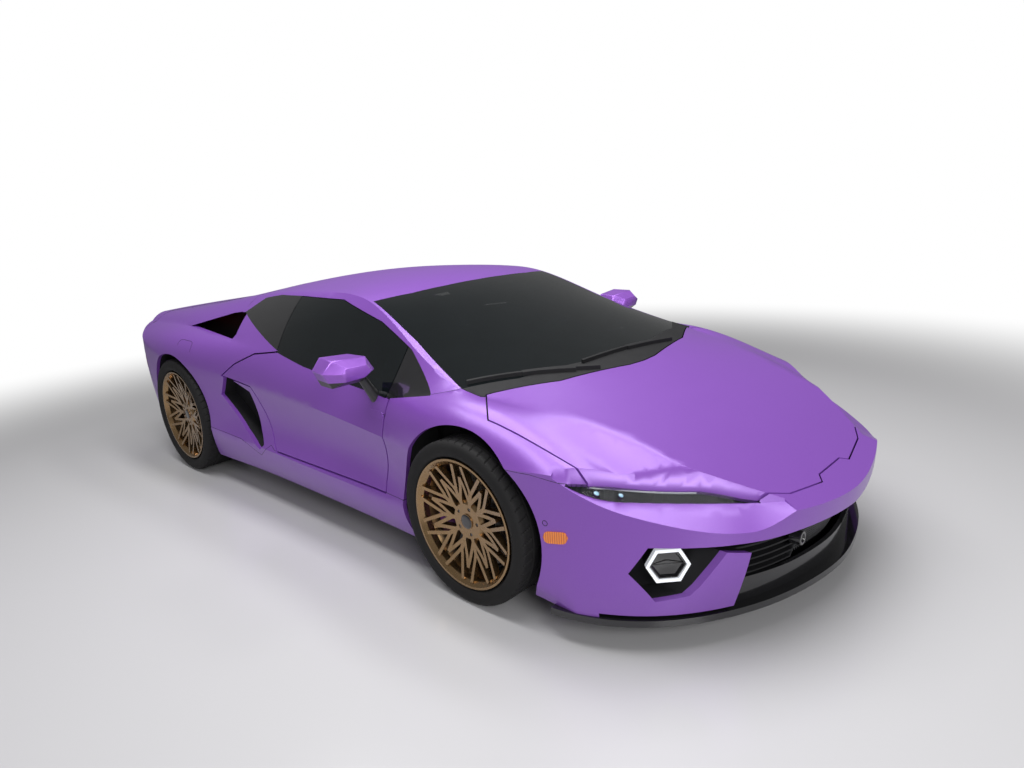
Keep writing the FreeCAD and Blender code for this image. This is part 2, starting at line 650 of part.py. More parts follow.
def body_panels():
    """The painted panels, glass and lamps, all cut from one skin."""
    pieces = {}
    outer = body_form(0)
    panel_form = body_form(PANEL)
    skin = outer.cut(panel_form)
    deep_form = body_form(ROOF_PANEL)
    glass_form = body_form(GLASS)
    half = GAP / 2
    arches = [
        arch(FRONT_AXLE_X, FRONT_TYRE_RADIUS, FRONT_ARCH_CLEARANCE),
        arch(REAR_AXLE_X, REAR_TYRE_RADIUS, REAR_ARCH_CLEARANCE)]
    both_arches = arches + [mirrored(tool) for tool in arches]
    far = LENGTH
    floor_box = box((-far, -HALF_WIDTH * .85, -OVERRUN), (far, HALF_WIDTH * .85, HEIGHT * .3))
    hood_low = HEIGHT * .3
    cabin_low = HEIGHT * .5

    nose_top = plan_prism(both_halves(NOSE_TOP_SHARES) + [(1.1, -1.10), (1.1, 1.10)], 0, hood_low)
    nose_side = side_prism(BUMPER_LINE_SHARES)
    bumper_zone = nose_top.fuse([nose_side, mirrored(nose_side)])
    mouth_outline = MOUTH_SHARES + [(-y, z) for y, z in reversed(MOUTH_SHARES[1:-1])]
    mouth = end_prism(mouth_outline, HALF_LENGTH * .6, far)
    lamp = lamp_zone()
    hood_hole = plan_prism(both_halves(HOOD_SHARES), half, hood_low)
    splitter_top = SPLITTER_FOOT + SPLITTER_THICKNESS
    under_splitter = box((-far, -far, -OVERRUN), (far, far, splitter_top))
    front_floor = box((-far, -HALF_WIDTH * .90, -OVERRUN), (HALF_LENGTH * .92, HALF_WIDTH * .90, HEIGHT * .12))
    bumper = skin.common(bumper_zone)
    pieces["front_bumper"] = largest(bumper.cut(
        both_arches + [mouth, under_splitter, front_floor, hood_hole, lamp, mirrored(lamp)]))
    skin = skin.cut(bumper_zone)

    duct_form = body_form(DUCT_DEPTH)
    duct = duct_form.cut(body_form(DUCT_DEPTH + DUCT_WALL))
    grille_zone = end_prism([(-.93, .13), (-.93, .42), (.93, .42), (.93, .13)], HALF_LENGTH * .66, far)
    liner_room = LINER_CLEARANCE + LINER_WALL + GAP
    wheel_rooms = [
        arch(FRONT_AXLE_X, FRONT_TYRE_RADIUS, FRONT_ARCH_CLEARANCE + liner_room),
        arch(REAR_AXLE_X, REAR_TYRE_RADIUS, REAR_ARCH_CLEARANCE + liner_room)]
    wheel_rooms += [mirrored(tool) for tool in wheel_rooms]
    under_grille = box((-far, -far, -OVERRUN), (far, far, splitter_top + GAP))
    sheet = largest(duct.common(grille_zone))
    grille = mouth_with_walls(
        sheet, mouth_outline, HALF_LENGTH * .6, far, grille_slats() + lamp_pods())
    pieces["front_grille"] = largest(grille.cut(wheel_rooms + [under_grille]))
    tail_zone = end_prism([(-.90, .34), (-.90, .74), (.90, .74), (.90, .34)], -far, -HALF_LENGTH * .80)
    exhaust_seat = exhaust_form(EXHAUST_RADIUS, OVERRUN, LENGTH / 6)
    sheet = largest(duct.common(tail_zone))
    grille = mouth_with_walls(sheet, TAIL_MOUTH_SHARES, -far, -HALF_LENGTH * .7)
    pieces["rear_grille"] = largest(grille.cut(wheel_rooms + [exhaust_seat, mirrored(exhaust_seat)]))
    pieces["wheel_arch_liners"] = arch_liners()

    pieces["front_lid"] = largest(skin.common(plan_prism(both_halves(HOOD_SHARES), -half, hood_low)))
    lens = outer.cut(glass_form).common(lamp).cut(hood_hole)
    housing = glass_form.cut(body_form(LAMP_DEPTH)).common(lamp).cut(hood_hole)
    pieces["headlamp_lenses"] = with_mirror(largest(lens))
    pieces["headlamp_housings"] = with_mirror(largest(housing))
    skin = skin.cut([hood_hole, lamp, mirrored(lamp)])

    glass_skin = outer.cut(glass_form)
    screen = plan_prism(both_halves(SCREEN_SHARES), 0, cabin_low)
    pieces["windscreen"] = largest(glass_skin.common(screen))
    cowl = plan_prism(both_halves(COWL_SHARES), 0, cabin_low)
    pieces["cowl"] = largest(skin.common(cowl).cut([hood_hole, screen]))
    skin = skin.cut(cowl)

    cabin = side_prism(CABIN_SHARES)
    cabin = cabin.fuse(mirrored(cabin))
    window = side_prism(SIDE_WINDOW_SHARES, 0, HALF_WIDTH * .5)
    openings = [screen, window, mirrored(window)]
    pieces["roof"] = largest(outer.cut(deep_form).common(cabin).cut(openings))
    skin = skin.cut([cabin] + openings)

    lid_low = HEIGHT * .6
    vent = plan_prism(both_halves(LID_VENT_SHARES), 0, lid_low)
    lid = skin.common(plan_prism(both_halves(LID_SHARES), -half, lid_low))
    pieces["engine_lid"] = largest(lid.cut(vent))
    pieces["engine_louvres"] = lid.common(vent).common(louvre_strips())
    skin = skin.cut(plan_prism(both_halves(LID_SHARES), half, lid_low))

    tail = side_prism(TAIL_LINE_SHARES)
    tail = tail.fuse(mirrored(tail))
    tail_lamp = end_prism(TAIL_LAMP_SHARES, -far, -HALF_LENGTH * .7)
    tail_mouth = end_prism(TAIL_MOUTH_SHARES, -far, -HALF_LENGTH * .7)
    exhaust_hole = exhaust_form(EXHAUST_RADIUS + GAP, OVERRUN, LENGTH / 6)
    exhaust_holes = [exhaust_hole, mirrored(exhaust_hole)]
    holes = both_arches + exhaust_holes + [tail_lamp, mirrored(tail_lamp), tail_mouth, floor_box]
    pieces["rear_bumper"] = largest(skin.common(tail).cut(holes))
    lamp_block = glass_form.cut(duct_form).common(tail_lamp)
    pieces["tail_lamps"] = with_mirror(largest(lamp_block))
    skin = skin.cut(tail)

    left = skin.common(box((-far, 0, 0), (far, WIDTH, 2 * HEIGHT)))
    half_gap = DOOR_GAP / 2
    door_gap = side_prism(DOOR_SHARES, half_gap)
    ducts = [side_prism(SIDE_DUCT_SHARES), side_prism(SHOULDER_DUCT_SHARES, 0, HALF_WIDTH * .6)]
    pane_gap = side_prism(DOOR_GLASS_SHARES, half, HALF_WIDTH * .5)
    side = left.cut([door_gap, floor_box, pane_gap] + ducts + arches)
    sill_zone = side_prism(SILL_SHARES)
    sill = side.common(sill_zone)
    upper = side.cut(sill_zone)
    fender = upper.common(box((HALF_LENGTH * .1, 0, 0), (far, WIDTH, HEIGHT)))
    quarter = upper.common(box((-far, 0, 0), (HALF_LENGTH * .1, WIDTH, 2 * HEIGHT)))
    door_room = side_prism(DOOR_SHARES, -half_gap)
    door = outer.cut(body_form(DOOR_THICKNESS)).common(door_room).cut(hinge_pockets())
    pane = side_prism(DOOR_GLASS_SHARES, -half, HALF_WIDTH * .5)
    door_glass = glass_skin.common(pane.cut(door_room))
    fixed_glass = glass_skin.common(window).cut(pane_gap)
    tray = panel_form.cut(body_form(DUCT_DEPTH + DUCT_WALL)).common(side_prism(SIDE_DUCT_SHARES, DUCT_WALL))
    hollow = panel_form.cut(duct_form).common(side_prism(SIDE_DUCT_SHARES))
    duct_panels = tray.cut([hollow, door_gap, floor_box])
    fixed = {"side_sills": sill, "front_fenders": fender, "rear_quarters": quarter}
    for name, shape in fixed.items():
        pieces[name] = with_mirror(largest(shape))
    for name, shape in (("door", door), ("door_glass", door_glass)):
        pieces[name + "_left"] = largest(shape)
        pieces[name + "_right"] = mirrored(largest(shape))
    pieces["fixed_side_glass"] = with_mirror(largest(fixed_glass, 2))
    pieces["side_ducts"] = with_mirror(largest(duct_panels))
    return pieces


# Wheels, brakes and what carries them

HUB_RADIUS = 88.0
HUB_BORE = 32.0
BORE_PLAY = 0.06
RIM_FLANGE = 17.0
RIM_WALL = 9.0
RIM_WELL = 20.0
SPOKE_COUNT = 10
SPOKE_WIDTH = 15.0
SPOKE_DEPTH = 26.0
LUG_COUNT = 5
LUG_CIRCLE = 57.0
LUG_RADIUS = 8.0
DISC_THICKNESS = 36.0
DISC_FACE = 40.0
DISC_HAT_RADIUS = 92.0
FRONT_DISC_RADIUS = 205.0
REAR_DISC_RADIUS = 195.0
CALIPER_SPAN_DEG = 62.0
CALIPER_WALL = 24.0
CALIPER_REACH = 18.0
CALIPER_PLAY = 4.0
KINGPIN_INSET = 88.0
KNUCKLE_HALF = 150.0
KNUCKLE_WIDTH = 64.0
KNUCKLE_DEPTH = 46.0
BALL_RADIUS = 13.0
ARM_THICKNESS = 20.0
ARM_SPREAD = 170.0
ARM_BAR = 26.0
CHASSIS_HALF = 400.0
BALL_PIN = 34.0
DAMPER_RADIUS = 32.0
DAMPER_FOOT_INSET = 150.0
DAMPER_LEAN = 110.0
DAMPER_HEAD = 320.0
SPRING_RADIUS = 50.0
SPRING_START_SHARE = .42
SPRING_LENGTH_SHARE = .45
SHAFT_RADIUS = 20.0
SHAFT_JOINT_RADIUS = 44.0
SHAFT_JOINT_LENGTH = 70.0
GEARBOX_HALF = 190.0


def turned(profile):
    """A ring from (radius, y) corners turned about the Y axis."""
    points = [FreeCAD.Vector(radius, y, 0) for radius, y in profile]
    face = Part.Face(Part.makePolygon(points + points[:1]))
    return face.revolve(FreeCAD.Vector(), FreeCAD.Vector(0, 1, 0), 360)


def tyre(radius, rim_radius, width):
    half = width / 2
    seat = rim_radius - RIM_FLANGE + SEAT_PLAY
    wall = radius - rim_radius
    profile = [
        (seat, -half * .745), (rim_radius + 2, -half * .80), (rim_radius + wall * .12, -half * .90),
        (rim_radius + wall * .45, -half),
        (radius - wall * .14, -half * .93), (radius, -half * .78)]
    return turned(profile + [(r, -y) for r, y in reversed(profile)])


def rim_profile(rim_radius, half):
    """Half barrel from the middle to the outer lip, outer side first."""
    seat = rim_radius - RIM_FLANGE
    well = seat - RIM_WELL
    return [
        (well, half * .30), (seat, half * .55), (seat, half * .86), (rim_radius, half * .90),
        (rim_radius, half), (rim_radius - RIM_WALL, half), (seat - RIM_WALL, half * .84),
        (seat - RIM_WALL, half * .60), (well - RIM_WALL, half * .34)]


def spoke_bar(start, end, width, depth):
    """A straight bar between two (radius, degrees) places in the wheel's plane."""
    ends = []
    for radius, angle in (start, end):
        turn = math.radians(angle)
        ends.append(FreeCAD.Vector(radius * math.cos(turn), 0, radius * math.sin(turn)))
    along = (ends[1] - ends[0]).normalize()
    side = FreeCAD.Vector(-along.z, 0, along.x) * (width / 2)
    corners = [ends[0] - side, ends[1] - side, ends[1] + side, ends[0] + side]
    face = Part.Face(Part.makePolygon(corners + corners[:1]))
    return face.extrude(FreeCAD.Vector(0, depth, 0))


def rim(rim_radius, width):
    """Barrel, hub and split spokes as one casting. The outer side is +Y."""
    half = width / 2
    outer_half = rim_profile(rim_radius, half)
    near = outer_half[:5]
    lip = outer_half[5:]
    barrel = turned(
        [(r, -y) for r, y in reversed(near)] + near + lip + [(r, -y) for r, y in reversed(lip)])
    face_y = half - 8
    hub_y = face_y - 34
    reach = rim_radius - RIM_FLANGE - RIM_WALL / 2
    bars = []
    fork = rim_radius * .52
    for index in range(SPOKE_COUNT):
        angle = index * 360 / SPOKE_COUNT
        bars.append(spoke_bar((HUB_RADIUS * .7, angle), (fork, angle), SPOKE_WIDTH * 1.25, width))
        for sign in (-1, 1):
            bars.append(spoke_bar((fork * .93, angle), (reach, angle + sign * 12), SPOKE_WIDTH, width))
            bars.append(spoke_bar((fork * .60, angle), (rim_radius * .72, angle + sign * 18), SPOKE_WIDTH, width))
    lattice = bars[0].fuse(bars[1:])
    envelope = turned([
        (HUB_RADIUS * .4, hub_y - SPOKE_DEPTH), (rim_radius * .5, hub_y - SPOKE_DEPTH * .8),
        (reach, face_y - SPOKE_DEPTH), (reach, face_y), (rim_radius * .55, hub_y + 12),
        (HUB_RADIUS * .4, hub_y)])
    spokes = lattice.common(envelope)
    hub = turned([
        (HUB_BORE, DISC_FACE), (HUB_RADIUS, DISC_FACE), (HUB_RADIUS, hub_y - 8),
        (HUB_RADIUS - 14, hub_y + 4), (HUB_BORE, hub_y + 4)])
    lugs = [
        cross_cylinder(LUG_CIRCLE * math.cos(turn), LUG_CIRCLE * math.sin(turn), LUG_RADIUS, 0, half)
        for turn in (2 * math.pi * index / LUG_COUNT for index in range(LUG_COUNT))]
    cap = cross_cylinder(0, 0, HUB_BORE, hub_y - 12, hub_y + 8)
    return barrel.fuse([spokes, hub.cut(lugs), cap])


def brake_disc(radius):
    """A disc with its hat, bored for the hub spindle. Its hat seats on the rim's hub."""
    low = -DISC_THICKNESS / 2
    wall = 10
    return turned([
        (HUB_BORE + BORE_PLAY, DISC_FACE), (HUB_BORE + BORE_PLAY, DISC_FACE - wall),
        (DISC_HAT_RADIUS - wall, DISC_FACE - wall), (DISC_HAT_RADIUS - wall, low), (radius, low),
        (radius, -low), (DISC_HAT_RADIUS, -low), (DISC_HAT_RADIUS, DISC_FACE)])


def caliper(disc_radius, middle_deg):
    """A caliper that straddles the disc."""
    high = disc_radius + CALIPER_REACH
    low_y = -DISC_THICKNESS / 2 - CALIPER_WALL
    block = turned([(disc_radius * .62, low_y), (high, low_y), (high, -low_y), (disc_radius * .62, -low_y)])
    slot = turned([
        (1, -DISC_THICKNESS / 2 - CALIPER_PLAY), (disc_radius + CALIPER_PLAY, -DISC_THICKNESS / 2 - CALIPER_PLAY),
        (disc_radius + CALIPER_PLAY, DISC_THICKNESS / 2 + CALIPER_PLAY), (1, DISC_THICKNESS / 2 + CALIPER_PLAY)])
    return block.cut(slot).common(wedge(middle_deg, CALIPER_SPAN_DEG, high * 1.2, 2 * abs(low_y)))


def wedge(middle_deg, span_deg, radius, half_depth):
    """A pie slice in the wheel's plane."""
    points = [FreeCAD.Vector(0, -half_depth, 0)]
    steps = 4
    for step in range(steps + 1):
        turn = math.radians(middle_deg + span_deg * (step / steps - .5))
        points.append(FreeCAD.Vector(radius * math.cos(turn), -half_depth, radius * math.sin(turn)))
    return Part.Face(Part.makePolygon(points + points[:1])).extrude(FreeCAD.Vector(0, 2 * half_depth, 0))


def upright(caliper_deg, disc_radius):
    """The piece that carries a wheel: spindle, post, and a foot that holds the caliper."""
    inner = -KINGPIN_INSET
    low_y = inner - KNUCKLE_DEPTH / 2
    post = box((-KNUCKLE_WIDTH / 2, low_y, -KNUCKLE_HALF), (KNUCKLE_WIDTH / 2, low_y + KNUCKLE_DEPTH, KNUCKLE_HALF))
    boss = cross_cylinder(0, 0, DISC_HAT_RADIUS * .75, low_y, -DISC_THICKNESS)
    spindle = cross_cylinder(0, 0, HUB_BORE, low_y, DISC_FACE - 2)
    turn = math.radians(caliper_deg)
    foot_low = -DISC_THICKNESS / 2 - CALIPER_WALL
    foot = spoke_bar((0, caliper_deg), (disc_radius * .85, caliper_deg), 90, KNUCKLE_DEPTH)
    foot.translate(FreeCAD.Vector(0, foot_low - KNUCKLE_DEPTH, 0))
    sockets = []
    for sign in (-1, 1):
        low_z = KNUCKLE_HALF - 40 if sign > 0 else -KNUCKLE_HALF
        sockets.append(Part.makeCylinder(BALL_RADIUS + BORE_PLAY, 40, FreeCAD.Vector(0, inner, low_z)))
    return post.fuse([boss, spindle, foot]).cut(sockets)


def wishbone(z, sign, track):
    """A flat arm from the chassis to the upright, with a pin at its outer end."""
    apex = FreeCAD.Vector(0, -KINGPIN_INSET, z)
    inner_y = CHASSIS_HALF - track / 2
    bars = []
    for side in (-1, 1):
        foot = FreeCAD.Vector(side * ARM_SPREAD, inner_y, z)
        along = (apex - foot).normalize()
        start = foot - along * ARM_BAR
        across = FreeCAD.Vector(-along.y, along.x, 0) * (ARM_BAR / 2)
        corners = [start - across, apex - across, apex + across, start + across]
        face = Part.Face(Part.makePolygon(corners + corners[:1]))
        bars.append(face.extrude(FreeCAD.Vector(0, 0, ARM_THICKNESS)))
    head = Part.makeCylinder(ARM_BAR, ARM_THICKNESS, apex)
    pin_low = z - BALL_PIN if sign > 0 else z + ARM_THICKNESS
    pin = Part.makeCylinder(BALL_RADIUS, BALL_PIN, FreeCAD.Vector(0, -KINGPIN_INSET, pin_low))
    chassis_room = box((-LENGTH, inner_y - LENGTH, -LENGTH), (LENGTH, inner_y, LENGTH))
    return bars[0].fuse([bars[1], head, pin]).cut(chassis_room)


def suspension(track):
    """Both wishbones and the damper of one left wheel, about the wheel's centre."""
    upper = wishbone(KNUCKLE_HALF + SEAT_PLAY, 1, track)
    low_z = -KNUCKLE_HALF - SEAT_PLAY - ARM_THICKNESS
    lower = wishbone(low_z, -1, track)
    foot_y = -KINGPIN_INSET - DAMPER_FOOT_INSET
    seat_reach = ARM_SPREAD * DAMPER_FOOT_INSET / (track / 2 - CHASSIS_HALF - KINGPIN_INSET)
    cross_bar = box(
        (-seat_reach, foot_y - DAMPER_RADIUS, low_z),
        (seat_reach, foot_y + DAMPER_RADIUS, low_z + ARM_THICKNESS))
    foot = FreeCAD.Vector(0, foot_y, low_z)
    head = FreeCAD.Vector(0, foot_y - DAMPER_LEAN, DAMPER_HEAD)
    along = head - foot
    damper = Part.makeCylinder(DAMPER_RADIUS, along.Length * 2, foot - along / 2, along)
    damper = damper.common(box((-LENGTH, -LENGTH, low_z), (LENGTH, LENGTH, DAMPER_HEAD)))
    spring = Part.makeCylinder(
        SPRING_RADIUS, along.Length * SPRING_LENGTH_SHARE, foot + along * SPRING_START_SHARE, along)
    return upper, lower.fuse([cross_bar, damper, spring])


def drive_shaft():
    """From the gearbox's side to the rear upright, about the left wheel's centre."""
    inner_y = GEARBOX_HALF - REAR_TRACK / 2
    outer_y = -KINGPIN_INSET - KNUCKLE_DEPTH / 2
    shaft = cross_cylinder(0, 0, SHAFT_RADIUS, inner_y, outer_y)
    joints = [
        cross_cylinder(0, 0, SHAFT_JOINT_RADIUS, inner_y, inner_y + SHAFT_JOINT_LENGTH),
        cross_cylinder(0, 0, SHAFT_JOINT_RADIUS, outer_y - SHAFT_JOINT_LENGTH, outer_y)]
    return shaft.fuse(joints)


def placed(shape, x, y, z):
    moved = shape.copy()
    moved.translate(FreeCAD.Vector(x, y, z))
    return moved


def running_gear():
    pieces = {}
    axles = (
        ("front", FRONT_AXLE_X, FRONT_TRACK, FRONT_TYRE_RADIUS, FRONT_RIM_RADIUS, FRONT_TYRE_WIDTH,
         FRONT_DISC_RADIUS, 180),
        ("rear", REAR_AXLE_X, REAR_TRACK, REAR_TYRE_RADIUS, REAR_RIM_RADIUS, REAR_TYRE_WIDTH,
         REAR_DISC_RADIUS, 180))
    for end, x, track, radius, rim_radius, width, disc_radius, caliper_deg in axles:
        place = (x, track / 2, radius)
        wheel = {
            "tyre": tyre(radius, rim_radius, width),
            "rim": rim(rim_radius, width * .92),
            "brake_disc": brake_disc(disc_radius),
            "caliper": caliper(disc_radius, caliper_deg),
            "upright": upright(caliper_deg, disc_radius)}
        for name, shape in wheel.items():
            left = placed(shape, *place)
            if end == "rear" and name in ("caliper", "upright"):
                pieces["rear_" + name + "s"] = with_mirror(left)
            else:
                pieces[end + "_" + name + "_left"] = left
                pieces[end + "_" + name + "_right"] = mirrored(left)
        arms = [placed(arm, *place) for arm in suspension(track)]
        if end == "rear":
            arms.append(placed(drive_shaft(), *place))
        pieces[end + "_suspension"] = Part.makeCompound(arms + [mirrored(arm) for arm in arms])
    return pieces


# Chassis, engine and cabin

FLOOR_LOW = 118.0
FLOOR_THICKNESS = 26.0
CABIN_FRONT_X = 860.0
CABIN_REAR_X = -640.0
BULKHEAD = 30.0
SILL_BOX_INNER_Y = 640.0
SILL_BOX_OUTER_Y = 838.0
SILL_BOX_FRONT_X = 700.0
SILL_FLANGE_REAR_X = -340.0
FOOTWELL_HALF = 512.0
FRONT_BULKHEAD_TOP = 620.0
REAR_BULKHEAD_TOP = 940.0
SCUTTLE_X = 1120.0
SCUTTLE_HALF = 730.0
STAY_HALF = 30.0
STAY_DEPTH = 90.0
POST_HALF = 25.0
POST_MARGIN = 8.0
TOWER_HALF = 60.0
TOWER_PLATE = 20.0
TOWER_OUTER_Y = 560.0
BAY_WALL_Y = 560.0
BAY_WALL_LOW = 700.0
FRONT_BEAM_X = 2000.0
REAR_BEAM_X = -2070.0
BAY_WALL_REAR_X = -1870.0
BEAM_HALF = 560.0
HINGE_POST_REAR_X = 500.0
HINGE_POST_FRONT_X = 750.0
HINGE_POST_INNER_Y = 695.0
HINGE_POST_OUTER_Y = 720.0
HINGE_POST_TOP = 722.0
HINGE_FOOT = (560.0, 950.0, 335.0)
HINGE_LEAN_DEG = 8.0
HINGE_HEIGHTS = (615.0, 672.0)
HINGE_ARM_HEIGHT = 20.0
HINGE_ARM_HALF = 8.0
HINGE_PIN_RADIUS = 5.0
HINGE_PIN_REACH = 9.0
HINGE_RISE = 14.0
SILL_BOX_TOP = 318.0
RAIL_INNER_Y = 300.0
RAIL_OUTER_Y = 400.0
RAIL_LOW = 250.0
RAIL_HIGH = 360.0
TUNNEL_HALF = 110.0
TUNNEL_TOP = 330.0
SEAT_CENTRE_Y = 385.0
SEAT_HALF = 235.0
SEAT_FRONT_X = 330.0
SEAT_BACK_X = -330.0
SEAT_TOP = 340.0
SEAT_FOOT = FLOOR_LOW + FLOOR_THICKNESS + SEAT_PLAY
DASH_TOP = 720.0
WHEEL_CENTRE = (455.0, 385.0, 665.0)
WHEEL_RADIUS = 175.0
WHEEL_TUBE = 15.0
WHEEL_LEAN_SHARE = .38
HUB_BACK = 30.0
COLUMN_RADIUS = 40.0
COLUMN_LENGTH = 150.0
ENGINE_LOW = 190.0
ENGINE_TOP = 760.0
ENGINE_HALF = 280.0
ENGINE_REAR_X = -1320.0
GEARBOX_LOW = 250.0
GEARBOX_TOP = 520.0
GEARBOX_REAR_X = -1940.0
SILENCER_HALF = 250.0
SILENCER_TOP = 800.0
SILENCER_FRONT_X = -1800.0


def both_sides(low, high):
    """A box on the left and its mirror image."""
    left = box(low, high)
    return [left, mirrored(left)]


def axle_frame(x, hub_z):
    """The posts that carry the wishbones, and the towers that carry the dampers."""
    parts = []
    foot_z = hub_z - KNUCKLE_HALF - SEAT_PLAY - ARM_THICKNESS - POST_MARGIN
    top_z = hub_z + KNUCKLE_HALF + SEAT_PLAY + ARM_THICKNESS + POST_MARGIN
    for side in (-ARM_SPREAD, ARM_SPREAD):
        parts += both_sides(
            (x + side - POST_HALF, RAIL_INNER_Y, foot_z), (x + side + POST_HALF, CHASSIS_HALF, top_z))
    head_z = hub_z + DAMPER_HEAD
    tower_top = hub_z + DAMPER_HEAD + TOWER_PLATE
    tower = box((x - TOWER_HALF, RAIL_INNER_Y, RAIL_LOW), (x + TOWER_HALF, CHASSIS_HALF, tower_top))
    plate = box((x - TOWER_HALF, RAIL_INNER_Y, head_z), (x + TOWER_HALF, TOWER_OUTER_Y, tower_top))
    return parts + [tower, mirrored(tower), plate, mirrored(plate)]


def chassis():
    floor_top = FLOOR_LOW + FLOOR_THICKNESS
    floor = both_sides(
        (CABIN_REAR_X, SILL_BOX_INNER_Y, FLOOR_LOW), (SILL_BOX_FRONT_X, SILL_BOX_OUTER_Y, SILL_BOX_TOP))
    floor += both_sides((CABIN_REAR_X, 0, FLOOR_LOW), (SILL_BOX_FRONT_X, SILL_BOX_INNER_Y, floor_top))
    floor += both_sides((CABIN_REAR_X, 0, FLOOR_LOW), (CABIN_FRONT_X, FOOTWELL_HALF, floor_top))
    floor += both_sides(
        (CABIN_FRONT_X, 0, FLOOR_LOW), (CABIN_FRONT_X + BULKHEAD, FOOTWELL_HALF, FRONT_BULKHEAD_TOP))
    floor += both_sides(
        (CABIN_REAR_X - BULKHEAD, 0, FLOOR_LOW),
        (CABIN_REAR_X, SILL_BOX_INNER_Y + BULKHEAD, REAR_BULKHEAD_TOP))
    for x, hub_z in ((FRONT_AXLE_X, FRONT_TYRE_RADIUS), (REAR_AXLE_X, REAR_TYRE_RADIUS)):
        floor += axle_frame(x, hub_z)
    parts = both_sides(
        (SILL_FLANGE_REAR_X, SILL_BOX_OUTER_Y, FLOOR_LOW), (SILL_BOX_FRONT_X, HALF_WIDTH, SILL_BOX_TOP))
    parts += both_sides(
        (CABIN_FRONT_X, RAIL_INNER_Y, RAIL_LOW), (FRONT_BEAM_X, RAIL_OUTER_Y, RAIL_HIGH))
    parts += both_sides((REAR_BEAM_X, RAIL_INNER_Y, RAIL_LOW), (CABIN_REAR_X, RAIL_OUTER_Y, RAIL_HIGH))
    parts += both_sides((CABIN_REAR_X, 0, floor_top), (CABIN_FRONT_X, TUNNEL_HALF, TUNNEL_TOP))
    stay_low = FRONT_TYRE_RADIUS * 2 + FRONT_ARCH_CLEARANCE + LINER_CLEARANCE + LINER_WALL + GAP / 2
    parts += both_sides((SCUTTLE_X, 0, RAIL_LOW), (SCUTTLE_X + BULKHEAD, CHASSIS_HALF, stay_low))
    parts += both_sides((SCUTTLE_X, 0, stay_low), (SCUTTLE_X + BULKHEAD, SCUTTLE_HALF, HEIGHT))
    parts += both_sides(
        (FRONT_AXLE_X - STAY_HALF, RAIL_INNER_Y, RAIL_HIGH),
        (FRONT_AXLE_X + STAY_HALF, CHASSIS_HALF, stay_low))
    parts += both_sides(
        (SCUTTLE_X, RAIL_INNER_Y, stay_low), (FRONT_AXLE_X + STAY_HALF, HALF_WIDTH, stay_low + STAY_DEPTH))
    parts += both_sides(
        (HINGE_POST_REAR_X, HINGE_POST_INNER_Y, FLOOR_LOW),
        (HINGE_POST_FRONT_X, HINGE_POST_OUTER_Y, HINGE_POST_TOP))
    parts += both_sides(
        (HINGE_POST_FRONT_X - BULKHEAD, HINGE_POST_INNER_Y, SILL_BOX_TOP),
        (HINGE_POST_FRONT_X, HALF_WIDTH, HINGE_POST_TOP))
    roof_rear_x = HALF_LENGTH * min(x for x, _ in CABIN_SHARES) - SEAT_PLAY
    parts += both_sides(
        (BAY_WALL_REAR_X, BAY_WALL_Y, BAY_WALL_LOW), (roof_rear_x, BAY_WALL_Y + BULKHEAD, HEIGHT))
    parts += both_sides(
        (REAR_AXLE_X - TOWER_HALF, RAIL_INNER_Y, REAR_TYRE_RADIUS + DAMPER_HEAD),
        (REAR_AXLE_X + TOWER_HALF, BAY_WALL_Y, REAR_TYRE_RADIUS + DAMPER_HEAD + TOWER_PLATE))
    frame = parts[0].fuse(parts[1:]).common(body_form(PANEL + SEAT_PLAY))
    beams = [
        box((FRONT_BEAM_X, -BEAM_HALF, RAIL_LOW), (HALF_LENGTH, BEAM_HALF, RAIL_HIGH)),
        box((-HALF_LENGTH, -BEAM_HALF, RAIL_LOW), (REAR_BEAM_X, BEAM_HALF, RAIL_HIGH))]
    behind_grilles = body_form(DUCT_DEPTH + DUCT_WALL + SEAT_PLAY)
    beams = [beam.common(behind_grilles) for beam in beams]
    shaft_room = cross_cylinder(
        REAR_AXLE_X, REAR_TYRE_RADIUS, SHAFT_JOINT_RADIUS + GAP, -HALF_WIDTH, HALF_WIDTH)
    whole = frame.fuse(beams + floor).cut(shaft_room).removeSplitter()
    tub_front_x = CABIN_FRONT_X + BULKHEAD
    tub_rear_x = CABIN_REAR_X - BULKHEAD
    spans = {
        "chassis_tub": (tub_rear_x, tub_front_x),
        "front_subframe": (tub_front_x, LENGTH),
        "rear_subframe": (-LENGTH, tub_rear_x)}
    return {
        name: largest(whole.common(box((low, -WIDTH, 0), (high, WIDTH, WIDTH))))
        for name, (low, high) in spans.items()}


def hinge_point(z):
    """Where the door's leaning hinge line passes a height."""
    rise = z - HINGE_FOOT[2]
    return FreeCAD.Vector(HINGE_FOOT[0], HINGE_FOOT[1] - rise * math.tan(math.radians(HINGE_LEAN_DEG)), z)


def hinge_line():
    return (hinge_point(HEIGHT) - hinge_point(0)).normalize()


def hinge_pin(z, radius, margin):
    """A pin on the hinge line, through an arm at this height and past both its sides."""
    line = hinge_line()
    length = HINGE_ARM_HEIGHT + 2 * (HINGE_PIN_REACH + margin)
    return Part.makeCylinder(radius, length, hinge_point(z) - line * (length / 2), line)


def hinge_pockets():
    """The room that the left door leaves for its hinge arms as it swings."""
    pockets = []
    for z in HINGE_HEIGHTS:
        pin = hinge_point(z)
        low_z = z - HINGE_ARM_HEIGHT / 2 - GAP / 2
        pocket = box(
            (pin.x - HINGE_ARM_HALF - GAP, 0, low_z),
            (HALF_LENGTH, pin.y + HINGE_ARM_HALF + BORE_PLAY * 20, z + HINGE_ARM_HEIGHT / 2 + HINGE_RISE))
        pockets.append(pocket)
        pockets.append(hinge_pin(z, HINGE_PIN_RADIUS + BORE_PLAY, GAP))
    return pockets


